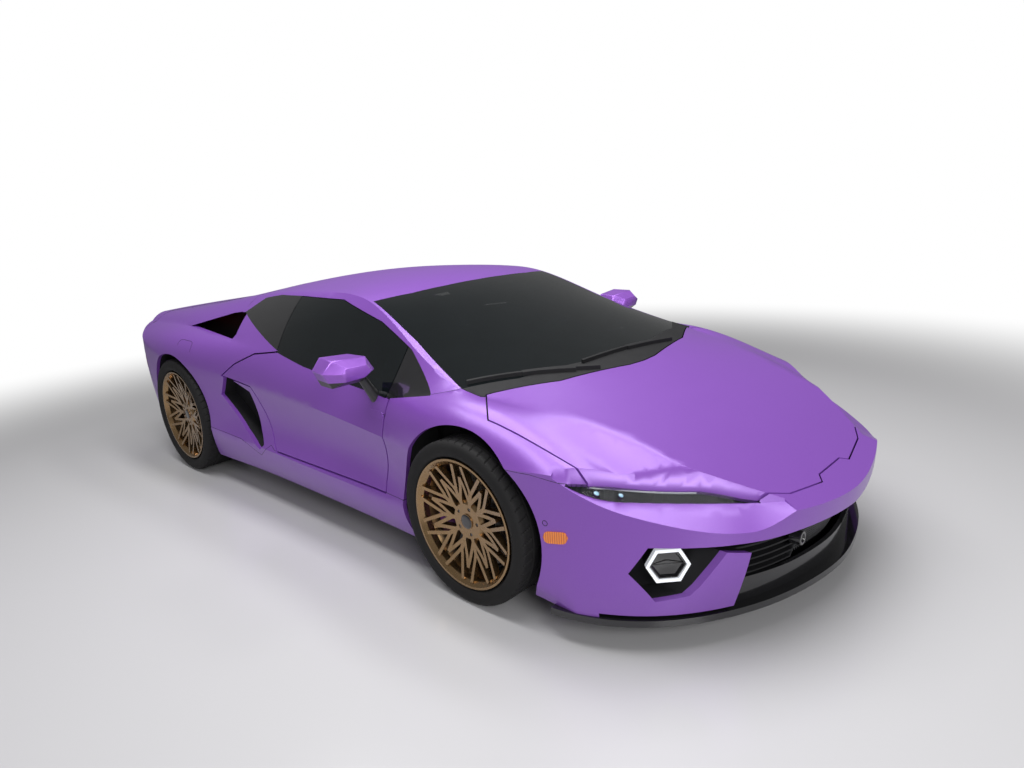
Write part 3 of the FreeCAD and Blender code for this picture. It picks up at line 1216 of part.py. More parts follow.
def door_hinges():
    """Arms from the hinge posts out to the pins inside the doors."""
    arms = []
    for z in HINGE_HEIGHTS:
        pin = hinge_point(z)
        half = HINGE_ARM_HEIGHT / 2
        arm = box(
            (pin.x - HINGE_ARM_HALF, HINGE_POST_OUTER_Y, z - half),
            (pin.x + HINGE_ARM_HALF, pin.y, z + half))
        eye = Part.makeCylinder(HINGE_ARM_HALF, HINGE_ARM_HEIGHT, FreeCAD.Vector(pin.x, pin.y, z - half))
        arms.append(arm.fuse([eye, hinge_pin(z, HINGE_PIN_RADIUS, 0)]))
    return Part.makeCompound(arms + [mirrored(arm) for arm in arms])


def seat():
    side = [
        (SEAT_FRONT_X, SEAT_FOOT), (SEAT_FRONT_X + 20, SEAT_TOP), (SEAT_BACK_X + 120, SEAT_TOP - 70),
        (SEAT_BACK_X - 110, 790), (SEAT_BACK_X - 150, 985), (SEAT_BACK_X - 230, 985), (SEAT_BACK_X - 230, 790),
        (SEAT_BACK_X - 40, SEAT_FOOT)]
    points = [FreeCAD.Vector(x, SEAT_CENTRE_Y - SEAT_HALF, z) for x, z in side]
    face = Part.Face(Part.makePolygon(points + points[:1]))
    return face.extrude(FreeCAD.Vector(0, 2 * SEAT_HALF, 0))


def steering_wheel():
    x, y, z = WHEEL_CENTRE
    lean = FreeCAD.Vector(-1, 0, WHEEL_LEAN_SHARE).normalize()
    centre = FreeCAD.Vector(x, y, z)
    ring = Part.makeTorus(WHEEL_RADIUS, WHEEL_TUBE, centre, lean)
    hub = Part.makeCylinder(52, 46, centre - lean * HUB_BACK, lean)
    spokes = []
    for angle in (0, 180, 270):
        bar = box((-9, -14, 0), (9, 14, WHEEL_RADIUS))
        bar.rotate(FreeCAD.Vector(), FreeCAD.Vector(1, 0, 0), angle + 90)
        bar.rotate(FreeCAD.Vector(), FreeCAD.Vector(0, 1, 0), math.degrees(math.atan(WHEEL_LEAN_SHARE)))
        bar.translate(centre)
        spokes.append(bar)
    return ring.fuse([hub] + spokes)


def interior():
    pieces = {}
    pieces["seats"] = with_mirror(seat())
    dash_side = [
        (CABIN_FRONT_X, 560), (CABIN_FRONT_X, DASH_TOP - 40), (CABIN_FRONT_X - 160, DASH_TOP + 20),
        (CABIN_FRONT_X - 330, DASH_TOP), (CABIN_FRONT_X - 340, DASH_TOP - 100), (CABIN_FRONT_X - 250, 480)]
    points = [FreeCAD.Vector(x, -660, z) for x, z in dash_side]
    face = Part.Face(Part.makePolygon(points + points[:1]))
    lean = FreeCAD.Vector(-1, 0, WHEEL_LEAN_SHARE).normalize()
    start = FreeCAD.Vector(*WHEEL_CENTRE) - lean * (HUB_BACK + SEAT_PLAY)
    column = Part.makeCylinder(COLUMN_RADIUS, COLUMN_LENGTH, start, lean * -1)
    pieces["dashboard"] = face.extrude(FreeCAD.Vector(0, 1320, 0)).fuse(column)
    console_side = [
        (CABIN_FRONT_X - 330, TUNNEL_TOP), (CABIN_FRONT_X - 330, 560), (CABIN_FRONT_X - 380, 560),
        (250, 470), (-260, 430), (-520, 430), (-520, TUNNEL_TOP)]
    points = [FreeCAD.Vector(x, -120, z) for x, z in console_side]
    face = Part.Face(Part.makePolygon(points + points[:1]))
    pieces["centre_console"] = face.extrude(FreeCAD.Vector(0, 240, 0))
    pieces["steering_wheel"] = steering_wheel()
    return pieces


def powertrain():
    """Engine, gearbox and silencer as one plain block."""
    engine = box((ENGINE_REAR_X, -ENGINE_HALF, ENGINE_LOW), (CABIN_REAR_X - BULKHEAD, ENGINE_HALF, ENGINE_TOP))
    gearbox = box((GEARBOX_REAR_X, -GEARBOX_HALF, GEARBOX_LOW), (ENGINE_REAR_X, GEARBOX_HALF, GEARBOX_TOP))
    tips_x = -HALF_LENGTH + EXHAUST_SET_IN + EXHAUST_LENGTH
    silencer = box((tips_x, -SILENCER_HALF, GEARBOX_TOP - GAP), (SILENCER_FRONT_X, SILENCER_HALF, SILENCER_TOP))
    return engine.fuse([gearbox, silencer])


# Splitter, diffuser, mirrors, day lamps and exhausts


def nose_slab(advance, thickness):
    """A flat slab behind the nose's lowest line, moved forward by some length."""
    rows = [(x * HALF_LENGTH + advance, y * HALF_WIDTH) for x, y in NOSE_SHARES[0][1][:SPLITTER_LAST + 1]]
    half = [FreeCAD.Vector(x, y, SPLITTER_FOOT) for x, y in rows]
    points = [FreeCAD.Vector(p.x, -p.y, p.z) for p in reversed(half[1:])] + half
    curve = Part.BSplineCurve()
    curve.interpolate(points)
    edge = curve.toShape()
    back = Part.makeLine(points[-1], points[0])
    return Part.Face(Part.Wire([edge, back])).extrude(FreeCAD.Vector(0, 0, thickness))


def splitter():
    """The plate under the nose, with the upright apron that stands on it in the mouth."""
    plate = nose_slab(SPLITTER_LIP, SPLITTER_THICKNESS)
    apron = nose_slab(-APRON_SET_IN, HEIGHT / 4).cut(nose_slab(-APRON_SET_IN - APRON_THICKNESS, HEIGHT / 2))
    apron = largest(apron.common(end_prism(APRON_SHARES, HALF_LENGTH * .6, LENGTH)))
    arches = arch(FRONT_AXLE_X, FRONT_TYRE_RADIUS, FRONT_ARCH_CLEARANCE)
    return largest(plate.fuse(apron).cut([arches, mirrored(arches)]))


def diffuser():
    """The tray under the engine, which rises behind the axle between upright fins."""
    tray_top = FLOOR_LOW + TRAY_THICKNESS
    bend_x = HALF_LENGTH * DIFFUSER_BEND_SHARE
    end_x = HALF_LENGTH * DIFFUSER_END_SHARE
    side = [
        (CABIN_REAR_X - BULKHEAD, FLOOR_LOW), (bend_x, FLOOR_LOW), (end_x, DIFFUSER_END_Z),
        (end_x, DIFFUSER_END_Z + TRAY_THICKNESS), (bend_x, tray_top), (CABIN_REAR_X - BULKHEAD, tray_top)]
    corners = [FreeCAD.Vector(x, -TRAY_HALF, z) for x, z in side]
    tray = Part.Face(Part.makePolygon(corners + corners[:1])).extrude(FreeCAD.Vector(0, 2 * TRAY_HALF, 0))
    fins = []
    for index in range(FIN_COUNT):
        y = FIN_PITCH * (index - (FIN_COUNT - 1) / 2)
        fin = [(bend_x, FLOOR_LOW), (end_x, FLOOR_LOW + FIN_RISE), (end_x, DIFFUSER_END_Z + TRAY_THICKNESS / 2),
               (bend_x, FLOOR_LOW + TRAY_THICKNESS / 2)]
        corners = [FreeCAD.Vector(x, y - FIN_THICKNESS / 2, z) for x, z in fin]
        face = Part.Face(Part.makePolygon(corners + corners[:1]))
        fins.append(face.extrude(FreeCAD.Vector(0, FIN_THICKNESS, 0)))
    return tray.fuse(fins)


def undertray():
    """The flat tray between the cabin floor and the splitter."""
    splitter_back = HALF_LENGTH * NOSE_SHARES[0][1][SPLITTER_LAST][0] + SPLITTER_LIP
    return box(
        (CABIN_FRONT_X + BULKHEAD, -FOOTWELL_HALF, FLOOR_LOW),
        (splitter_back, FOOTWELL_HALF, FLOOR_LOW + TRAY_THICKNESS))


DIFFUSER_BEND_SHARE = -.70
DIFFUSER_END_SHARE = -.93
DIFFUSER_END_Z = 262.0
TRAY_THICKNESS = 12.0
TRAY_HALF = 620.0
FIN_COUNT = 6
FIN_PITCH = 190.0
FIN_THICKNESS = 10.0
FIN_RISE = 20.0
SPLITTER_LAST = 6
MIRROR_CENTRE = (548.0, 1000.0, 900.0)
MIRROR_LENGTH = 175.0
MIRROR_WIDTH = 268.0
MIRROR_HEIGHT = 122.0
MIRROR_FOOT = (560.0, 866.0, 735.0)


def mirror(outer):
    """A wedge-shaped mirror shell on its stalk."""
    x, y, z = MIRROR_CENTRE
    sections = []
    shares = [(-.5, .80, 1.0), (.15, .95, .95), (.5, .55, .45)]
    wires = []
    for along, width, height in shares:
        half_w = MIRROR_WIDTH * width / 2
        half_h = MIRROR_HEIGHT * height / 2
        corners = [
            (-half_w, -half_h * .3), (-half_w * .7, half_h * .8), (half_w * .6, half_h), (half_w, half_h * .2),
            (half_w * .7, -half_h), (-half_w * .5, -half_h)]
        points = [FreeCAD.Vector(x + along * MIRROR_LENGTH, y + a, z + b) for a, b in corners]
        wires.append(Part.makePolygon(points + points[:1]))
    shell = Part.makeLoft(wires, True, True)
    foot = FreeCAD.Vector(*MIRROR_FOOT)
    head = FreeCAD.Vector(x, y - MIRROR_WIDTH * .25, z - MIRROR_HEIGHT * .3)
    along = head - foot
    stalk = Part.makeCone(26, 18, along.Length, foot, along)
    return shell.fuse(stalk).cut(outer)


def day_lamps():
    """A hexagonal ring on the face of each pod."""
    outer = turned_hexagon(DAY_LAMP_WIDTH, DAY_LAMP_HEIGHT, 0, DAY_LAMP_DEPTH)
    inner = turned_hexagon(
        DAY_LAMP_WIDTH - 2 * DAY_LAMP_TUBE, DAY_LAMP_HEIGHT - 2 * DAY_LAMP_TUBE, 0, DAY_LAMP_DEPTH)
    return with_mirror(outer.cut(inner))


def plan_strip(start, end, width):
    """A strip of some width between two plan places, as a tall prism."""
    low = FreeCAD.Vector(HALF_LENGTH * start[0], HALF_WIDTH * start[1], 0)
    high = FreeCAD.Vector(HALF_LENGTH * end[0], HALF_WIDTH * end[1], 0)
    along = (high - low).normalize()
    side = FreeCAD.Vector(-along.y, along.x, 0) * (width / 2)
    corners = [low - side, high - side, high + side, low + side]
    face = Part.Face(Part.makePolygon(corners + corners[:1]))
    face.translate(FreeCAD.Vector(0, 0, HEIGHT / 2))
    return face.extrude(FreeCAD.Vector(0, 0, HEIGHT))


def wipers():
    """Two wipers that follow the foot of the windscreen, each a blade and its arm."""
    layer = body_form(-WIPER_HEIGHT).cut(body_form(-SEAT_PLAY))
    wipers = []
    for (start, end), pivot in zip(WIPER_BLADE_SHARES, WIPER_PIVOT_SHARES):
        middle = [(low + high) / 2 for low, high in zip(start, end)]
        blade = plan_strip(start, end, WIPER_BLADE_WIDTH)
        arm = plan_strip(middle, pivot, WIPER_ARM_WIDTH)
        wipers.append(largest(layer.common(blade.fuse(arm))))
    return Part.makeCompound(wipers)


def exhausts():
    outer = exhaust_form(EXHAUST_RADIUS, -EXHAUST_SET_IN, EXHAUST_LENGTH)
    inner = exhaust_form(EXHAUST_RADIUS - EXHAUST_WALL, 0, EXHAUST_LENGTH - EXHAUST_WALL)
    return with_mirror(outer.cut(inner))


def all_pieces():
    pieces = body_panels()
    pieces.update(running_gear())
    pieces.update(interior())
    pieces.update(chassis())
    pieces["engine_block"] = powertrain()
    pieces["splitter"] = splitter()
    pieces["rear_diffuser"] = diffuser()
    pieces["undertray"] = undertray()
    pieces["door_hinges"] = door_hinges()
    pieces["mirror_left"] = largest(mirror(body_form(0)))
    pieces["mirror_right"] = mirrored(pieces["mirror_left"])
    pieces["day_lamps"] = day_lamps()
    pieces["wipers"] = wipers()
    pieces["exhaust_tips"] = exhausts()
    return pieces


os.makedirs("parts", exist_ok=True)
for node, shape in all_pieces().items():
    print(node, shape.isValid(), len(shape.Solids), round(shape.Volume / 1e6, 2))
    shape.exportStep("parts/" + node + ".step")
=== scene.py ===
import json
import math

import bmesh
import bpy
import numpy as np
from mathutils import Matrix, Vector

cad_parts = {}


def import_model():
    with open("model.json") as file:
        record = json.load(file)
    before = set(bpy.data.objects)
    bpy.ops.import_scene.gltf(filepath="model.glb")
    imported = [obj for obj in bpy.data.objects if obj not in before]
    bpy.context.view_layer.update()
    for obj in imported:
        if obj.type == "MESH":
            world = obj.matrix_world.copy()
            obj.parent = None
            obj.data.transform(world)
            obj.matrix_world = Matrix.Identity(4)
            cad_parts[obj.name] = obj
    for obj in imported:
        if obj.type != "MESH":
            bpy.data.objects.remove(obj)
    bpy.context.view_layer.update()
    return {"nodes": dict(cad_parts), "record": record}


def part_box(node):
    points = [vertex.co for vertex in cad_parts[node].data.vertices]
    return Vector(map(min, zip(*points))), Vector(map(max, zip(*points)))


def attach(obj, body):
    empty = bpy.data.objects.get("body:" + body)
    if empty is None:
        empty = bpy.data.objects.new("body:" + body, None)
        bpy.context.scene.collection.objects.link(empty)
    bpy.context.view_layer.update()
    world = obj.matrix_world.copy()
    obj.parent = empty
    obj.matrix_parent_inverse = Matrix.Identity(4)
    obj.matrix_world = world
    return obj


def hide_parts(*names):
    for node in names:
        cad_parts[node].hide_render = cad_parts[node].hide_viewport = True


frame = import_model()
nodes = frame["nodes"]
record = frame["record"]

# Scale: all lengths are in metres
MM = 0.001
SIDES = {"left": 1, "right": -1}

# The photograph's camera
PHOTO_WIDTH_PX = 1024
FOCAL_PX = 706.7
CENTRE_RIGHT_PX = 22.47
CENTRE_DOWN_PX = 4.04
CAMERA_SENSOR_MM = 36
CAMERA_PLACE = (3.1686, -2.5990, 1.5663)
CAMERA_YAW = 2.3284
CAMERA_PITCH = -0.2644
CAMERA_ROLL = -0.0685

# Wheels
FRONT_AXLE_X = 1.183
REAR_AXLE_X = -1.475
# Painted shade in the rims: inward of the first Y the rim is painted near black, fading out by the second
RIM_SHADE_FULL_Y = 0.902
RIM_SHADE_END_Y = 0.944

# Meshes
DOUBLE_DISTANCE = 0.001 * MM
SMOOTH_ANGLE = math.radians(32)
MIRROR_SMOOTH_ANGLE = math.radians(60)
NODE_SMOOTH_ANGLES = {"mirror_left": MIRROR_SMOOTH_ANGLE, "mirror_right": MIRROR_SMOOTH_ANGLE}
WELD_DISTANCE = 0.02 * MM
CROWN_SHARE = 0.25
CHANNEL_WIDTH = 6 * MM
CHANNEL_DEPTH = 8 * MM
LINE_SIDES = 6
LEAST_AREA = 1e-12
SLAB_ROWS = 14
SLAB_COLUMNS = 40

# Joints between the fixed panels
BODY_AXIS_Z = 0.45
NOSE_LEAN = 0.35
SEAM_ANGLE = math.radians(45)
LEAST_OUTWARD = 0.2
SEAM_REACH = 1.2 * MM
SEAM_SUNK = 1.5 * MM
SEAM_RADIUS = 2.1 * MM
SEAM_PAIRS = [
    ("front_bumper", "front_fenders"), ("front_bumper", "side_sills"), ("side_sills", "front_fenders"),
    ("side_sills", "rear_quarters"), ("rear_quarters", "rear_bumper"), ("side_sills", "rear_bumper"),
    ("roof", "rear_quarters"), ("roof", "front_fenders"), ("cowl", "front_fenders"), ("roof", "cowl"),
    ("front_bumper", "headlamp_lenses"), ("front_fenders", "headlamp_lenses"),
]

# Tyres
TYRE_WALL_HEIGHT = {"front": 0.072, "rear": 0.080}
TYRE_WALL_SHARES = [
    (.745, -.23), (.80, .03), (.90, .12), (.97, .28), (1.0, .47), (.985, .70), (.935, .87), (.86, .965),
    (.78, .996),
]
TYRE_WALL_ROWS = 22
TYRE_CROWN_ROWS = 54
TYRE_COLUMNS = 600
CROWN_POWER = 6
TREAD_REACH = 5 * MM
RING_GROOVE_SHARES = (-.50, -.17, .17, .50)
GROOVE_HALF = 3.6 * MM
GROOVE_SLOPE = 1.5 * MM
GROOVE_DEPTH = 6 * MM
SLOT_DEPTH = 4 * MM
SLOT_COUNT = {"front": 50, "rear": 54}
SLOT_LEAN = 0.9
SLOT_SHARE = 0.16
SLOT_START_SHARE = 0.54
MIDDLE_SLOT_SHARES = (0.24, 0.40)
WALL_RIDGE_HEIGHT = 12 * MM
WALL_RIDGE_WIDTH = 4 * MM
WALL_RIDGE_PROUD = 1.5 * MM

# Wheel bolts and hub caps. Steps are (along the axle, radius) in millimetres from the hub's face.
RIM_HALF = {"front": 0.1173, "rear": 0.1495}
HUB_FACE_INSET = 38 * MM
BOLT_COUNT = 5
BOLT_CIRCLE = 57 * MM
BOLT_SEAT_SIDES = 24
BOLT_HEAD_SIDES = 6
BOLT_SEAT_STEPS = [(-14, 0), (-14, 7.9), (-9.333, 7), (-9.333, 0)]
BOLT_HEAD_STEPS = [(-14, 0), (-14, 7), (-3.5, 7), (-2.5, 5.88), (-2.5, 3.5), (-8.167, 3.15), (-8.167, 0)]
CAP_STEPS = [(6.5, 0), (6.5, 18.6), (5.5, 27.9), (3.5, 31), (-1.5, 31), (-1.5, 0)]

# Wire meshes in the grilles. Spans are (Y, Z) corners, and a search box holds a grille's sheet.
SHEET_FACING = 0.55
SHEET_Y_TERMS = 4
SHEET_Z_TERMS = 3
MESH_PITCH = 15 * MM
MESH_WIRE = 1.2 * MM
MESH_WIRE_DEPTH = 1.6
MESH_WIRE_SIDES = 4
MESH_PROUD = 12 * MM
FRONT_MESH_SEARCH = ((1.8, -0.29, 0.18), (2.4, 0.29, 0.40))
FRONT_MESH_SPAN = ((-0.286, 0.216), (0.286, 0.374))
REAR_MESH_SEARCH = ((-2.36, -0.62, 0.47), (-1.8, 0.62, 0.60))
REAR_MESH_SPAN = ((-0.70, 0.475), (0.70, 0.610))
REAR_PLATE_PLACE = (0, 0.545)
REAR_PLATE_BEHIND = 26 * MM
REAR_PLATE_HALF = (0.005, 0.225, 0.052)
REAR_PLATE_SQUARENESS = 0.10

# Nose sensor, day lamps and headlamps. Steps are (along the axis, radius) in millimetres.
SENSOR_PLACE = (-0.345, 0.345)
SENSOR_FORWARD = 52 * MM
SENSOR_STEPS = [(-40, 0), (-40, 26), (0, 26), (2, 23.92), (2, 16.12), (-4, 13), (-2, 0)]
SENSOR_SIDES = 40
DAY_LAMP_SIDES = 6
DAY_LAMP_CENTRE = (1.985, 0.745, 0.322)
DAY_LAMP_TURN = math.radians(45)
DAY_LAMP_STRETCH = 1.143
DAY_LAMP_STEPS = [
    (-23, 0), (-23, 38), (-20, 50), (-4, 56), (-4, 52), (-17, 46), (-19, 30), (-21, 12), (-21, 0)]
DAY_LAMP_BAR = [(-14, -62, 0), (-10, 0, 4), (-14, 62, 0)]
DAY_LAMP_BAR_SECTION = (3 * MM, 2 * MM)
PROJECTORS = [((1.770, 0.850, 0.574), 0.014), ((1.830, 0.792, 0.560), 0.013)]
PROJECTOR_LEAN = math.radians(-60)
PROJECTOR_SIDES = 40
PROJECTOR_BACK = 6 * MM
PROJECTOR_LIP = 3 * MM
PROJECTOR_LIP_SHARE = 0.82
PROJECTOR_BOWL_SHARE = 0.78
PROJECTOR_DOME_SHARES = [(0, .76), (.30, .66), (.46, .40), (.52, 0)]
LAMP_GUIDE_POINTS = 40
LAMP_GUIDE_SECTION = (2.2 * MM, 3.2 * MM)
LAMP_GUIDE_KEYS = [
    (1.745, 0.852, 0.591), (1.800, 0.806, 0.577), (1.860, 0.747, 0.566), (1.940, 0.667, 0.551),
    (2.010, 0.600, 0.543)]

# Fittings on the sides
OUTSIDE_Y = 1.3
PATCH_ROWS = 8
PATCH_COLUMNS = 24
PATCH_END_POWER = 8
PATCH_NARROWING = 0.98
OUTLINE_CORNERS = 24
MARKER_X = (1.592, 1.690)
MARKER_Z = (0.374, 0.420)
MARKER_RISE = 0.014
REFLECTOR_Y = 0.93
REFLECTOR_X = (-2.10, -2.07)
REFLECTOR_Z = (0.60, 0.69)
PLATE_HALF_THICKNESS = 3 * MM
SIDE_SENSOR = (1.602, 0.452)
SIDE_SENSOR_RADIUS = 10 * MM
SIDE_SENSOR_LINE = 1.2 * MM
FUEL_FLAP = (-1.2965, -0.955, 0.812)
FUEL_FLAP_HALF = 0.085
FUEL_FLAP_SHARE = 0.9
FUEL_FLAP_POINTS = 160
FUEL_FLAP_LINE = 1.4 * MM
FUEL_FLAP_SUNK = 0.6 * MM
MIRROR_EDGE_Z = 0.868
HINGE_COVER_X = (0.535, 0.657)
HINGE_COVER_Z = (0.672, 0.703)
HINGE_COVER_HALF_THICKNESS = 1.2 * MM

# Paint, its dusty heights, and the drilled band of the brake discs
PAINT_DARK = (0.215, 0.066, 0.450)
PAINT_LIGHT = (0.370, 0.135, 0.660)
DUST_HEIGHTS = (0.12, 0.34)
DISC_HOLE_PITCH = 14 * MM
DISC_HOLES_START = (0.118, 0.122)
DISC_HOLES_END = (0.182, 0.186)

# Seats. Each pad has a name, half size, squareness, channels, place and lean.
SEAT_CENTRE_Y = 0.385
SEAT_BACK_LEAN = math.radians(-24)
HEAD_PAD_LEAN = SEAT_BACK_LEAN * 0.4
CUSHION_LEAN = -0.09
SEAT_FOOT_LEAN = -0.05
CUSHION_CHANNELS = (-.5, 0, .5)
BOLSTER_HALF = (.245, .038, .066)
BOLSTER_APART = 0.188
BACK_BOLSTER_HALF = (.062, .038, .215)
BACK_BOLSTER_APART = 0.186
SEAT_PADS = [
    ("seat_cushion", (.262, .150, .060), .45, CUSHION_CHANNELS, (.055, SEAT_CENTRE_Y, .262), CUSHION_LEAN),
    ("seat_back", (.050, .150, .255), .45, (), (-.338, SEAT_CENTRE_Y, .560), SEAT_BACK_LEAN),
    ("seat_head_pad", (.036, .118, .085), .6, (), (-.508, SEAT_CENTRE_Y, .888), HEAD_PAD_LEAN),
    ("seat_bolster_inner", BOLSTER_HALF, .6, (), (.050, SEAT_CENTRE_Y - BOLSTER_APART, .272), CUSHION_LEAN),
    ("seat_bolster_outer", BOLSTER_HALF, .6, (), (.050, SEAT_CENTRE_Y + BOLSTER_APART, .272), CUSHION_LEAN),
    ("back_bolster_inner", BACK_BOLSTER_HALF, .6, (), (-.318, SEAT_CENTRE_Y - BACK_BOLSTER_APART, .560),
     SEAT_BACK_LEAN),
    ("back_bolster_outer", BACK_BOLSTER_HALF, .6, (), (-.318, SEAT_CENTRE_Y + BACK_BOLSTER_APART, .560),
     SEAT_BACK_LEAN),
]
SEAT_SHELL_SQUARENESS = 0.35
SEAT_SHELLS = [
    ((.022, .215, .330), (-.412, SEAT_CENTRE_Y, .560), SEAT_BACK_LEAN),
    ((.290, .190, .030), (.045, SEAT_CENTRE_Y, .165), SEAT_FOOT_LEAN),
]

# Displays, vents and pedals
DISPLAYS = [
    ("driver_display", (.006, .150, .052), (.512, SEAT_CENTRE_Y, .664), .16),
    ("centre_display", (.075, .085, .006), (.360, 0, .520), -.37),
]
VENT_PLACES = (-.56, -.10, .10, .60)
VENT_X = 0.518
VENT_Z = 0.655
VENT_SIDES = 6
VENT_RING = [(-.010, .020), (.004, .024), (.004, .036), (-.010, .038)]
VENT_BAR_X = 0.516
VENT_BAR_HALF = 0.026
VENT_BAR_HEIGHTS = (.643, .655, .667)
VENT_BAR_SECTION = (.005, .0015)
PEDAL_PLACES = ((.34, .27), (.46, .27))
PEDAL_X = 0.800
PEDAL_HALF = (.007, .030, .055)
PEDAL_LEAN = 0.5
PEDAL_ARM = [(.806, 0), (.84, .12), (.862, .20)]
PEDAL_ARM_SECTION = (.008, .005)

# Floor, room and lamps
FLOOR_HALF = 40
FLOOR_CLEAR_RADIUS = 3.4
FLOOR_WHITE_RADIUS = 6.5
FLOOR_COLOUR = (0.60, 0.595, 0.61)
WHITE = (1, 1, 1)
WORLD_LIGHT = 0.19
WORLD_SHOWN = 1.0
CEILING_HEIGHT = 4.6
CEILING_LAMP_WIDTH = 0.75
CEILING_WATTS_PER_METRE = 20
CEILING_AIM_SHARE = 0.7
CEILING_LAMPS = ((0.2, -1.7, 5.5), (0.2, 0, 5.5), (1.2, 1.7, 3.2))
FRONT_LAMP = {"place": (6.8, -3.4, 3.4), "target": (1.4, -0.4, 0.5), "size": (3.0, 2.4), "power": 210}
SIDE_LAMP = {"place": (-1.0, -5.5, 2.4), "target": (0, -0.5, 0.5), "size": (5.0, 0.8), "power": 8}


class Wire:
    """An output of a shader node. Sums, products and comparisons of wires add Math nodes."""

    def __init__(self, finish, socket):
        self.finish = finish
        self.socket = socket

    def _math(self, operation, first, second=None, clamp=False):
        values = [first] if second is None else [first, second]
        settings = {"operation": operation, "use_clamp": clamp}
        return self.finish.node("ShaderNodeMath", settings, dict(enumerate(values)))

    def __add__(self, other):
        return self._math("ADD", self, other)

    def __radd__(self, other):
        return self._math("ADD", other, self)

    def __sub__(self, other):
        return self._math("SUBTRACT", self, other)

    def __rsub__(self, other):
        return self._math("SUBTRACT", other, self)

    def __mul__(self, other):
        return self._math("MULTIPLY", self, other)

    def __rmul__(self, other):
        return self._math("MULTIPLY", other, self)

    def __truediv__(self, other):
        return self._math("DIVIDE", self, other)

    def __rtruediv__(self, other):
        return self._math("DIVIDE", other, self)

    def __gt__(self, other):
        return self._math("GREATER_THAN", self, other)

    def __lt__(self, other):
        return self._math("LESS_THAN", self, other)

    def function(self, operation, other=None):
        """The wire through a named Math operation, such as SINE or ABSOLUTE."""
        return self._math(operation, self, other)

    def clamped(self):
        """The wire held between 0 and 1."""
        return self._math("ADD", self, 0, clamp=True)

    def step(self, low, high):
        """0 below low, 1 above high, smooth between."""
        settings = {"interpolation_type": "SMOOTHSTEP"}
        values = {"Value": self, "From Min": low, "From Max": high}
        return self.finish.node("ShaderNodeMapRange", settings, values)


class NodeTree:
    """The nodes of a material or of the room."""

    def __init__(self, owner):
        owner.use_nodes = True
        self.tree = owner.node_tree
        self.tree.nodes.clear()

    def feed(self, node, values):
        """Sets or links a node's inputs. A name's underscores stand for blanks."""
        for name, value in values.items():
            socket = node.inputs[name.replace("_", " ") if isinstance(name, str) else name]
            if isinstance(value, Wire):
                self.tree.links.new(value.socket, socket)
            elif hasattr(value, "__len__") and len(value) < len(socket.default_value):
                socket.default_value = (*value, 1)
            else:
                socket.default_value = value

    def node(self, kind, settings=None, inputs=None, output=0):
        """Adds a node, sets it, feeds its inputs and gives the wire of one output."""
        node = self.tree.nodes.new(kind)
        for name, value in (settings or {}).items():
            setattr(node, name, value)
        self.feed(node, inputs or {})
        return Wire(self, node.outputs[output])

    def end(self, kind, surface_wire):
        """Adds the node at the end of the tree, with what it shows."""
        self.feed(self.tree.nodes.new(kind), {"Surface": surface_wire})


class Finish(NodeTree):
    """A material under construction: one Principled shader and the nodes that feed it."""

    def __init__(self, name, **constants):
        self.material = bpy.data.materials.new(name)
        super().__init__(self.material)
        self.shader = self.tree.nodes.new("ShaderNodeBsdfPrincipled")
        self.feed(self.shader, constants)

    def set(self, **values):
        """Feeds the shader's own sockets and gives the finished material."""
        self.feed(self.shader, values)
        self.end("ShaderNodeOutputMaterial", self.shaded())
        return self.material

    def shaded(self):
        """The shader's own wire."""
        return Wire(self, self.shader.outputs[0])

    def place(self):
        """The point of the surface, in metres."""
        return self.node("ShaderNodeTexCoord", output="Object")

    def axes(self):
        """The X, Y and Z of the surface's place."""
        place = self.place()
        return [self.node("ShaderNodeSeparateXYZ", None, {0: place}, k) for k in range(3)]

    def noise(self, scale, detail=2, roughness=0.5):
        """Soft noise with scale cells to the metre, between 0 and 1."""
        values = {"Vector": self.place(), "Scale": scale, "Detail": detail, "Roughness": roughness}
        return self.node("ShaderNodeTexNoise", None, values)

    def cells(self, scale, feature="F1", output="Distance"):
        """Voronoi cells, scale of them to the metre."""
        values = {"Vector": self.place(), "Scale": scale}
        return self.node("ShaderNodeTexVoronoi", {"feature": feature}, values, output)

    def flakes(self, scale):
        """Metal flakes, scale of them to the metre, each with a brightness of its own."""
        return self.node("ShaderNodeRGBToBW", None, {0: self.cells(scale, output="Color")})

    def blend(self, share, first, second):
        """The first colour where share is 0 and the second where it is 1."""
        values = {"Factor": share, 6: first, 7: second}
        return self.node("ShaderNodeMix", {"data_type": "RGBA"}, values, 2)

    def bump(self, height, distance, strength=1):
        """A bumped normal of a height between 0 and 1 that stands for distance metres."""
        values = {"Height": height, "Distance": distance, "Strength": strength}
        return self.node("ShaderNodeBump", None, values)


def satin_paint():
    """Purple satin paint: fine metal flakes, a soft mottle in its gloss and dust low down."""
    finish = Finish("satin purple paint", Metallic=0.22, Coat_Weight=0.55, Coat_Roughness=0.30)
    bright = finish.flakes(1500)
    mottle = finish.noise(9, 3)
    colour = finish.blend(bright * 0.4, PAINT_DARK, PAINT_LIGHT)
    dust = 1 - finish.axes()[2].step(*DUST_HEIGHTS)
    colour = finish.blend(dust * 0.10 * finish.noise(30, 4), colour, (0.30, 0.27, 0.27))
    roughness = 0.33 + mottle * 0.08 + dust * 0.06
    normal = finish.bump(bright, 0.02 * MM, 0.4)
    return finish.set(Base_Color=colour, Roughness=roughness, Normal=normal)


def gloss_black():
    """Lacquered black trim with a faint ripple."""
    finish = Finish("gloss black lacquer", Coat_Weight=0.6, Coat_Roughness=0.04)
    mottle = finish.noise(14, 3)
    colour = finish.blend(mottle, (0.009, 0.009, 0.010), (0.016, 0.016, 0.018))
    return finish.set(
        Base_Color=colour, Roughness=0.12 + mottle * 0.08, Normal=finish.bump(finish.noise(4), 0.3 * MM)
    )


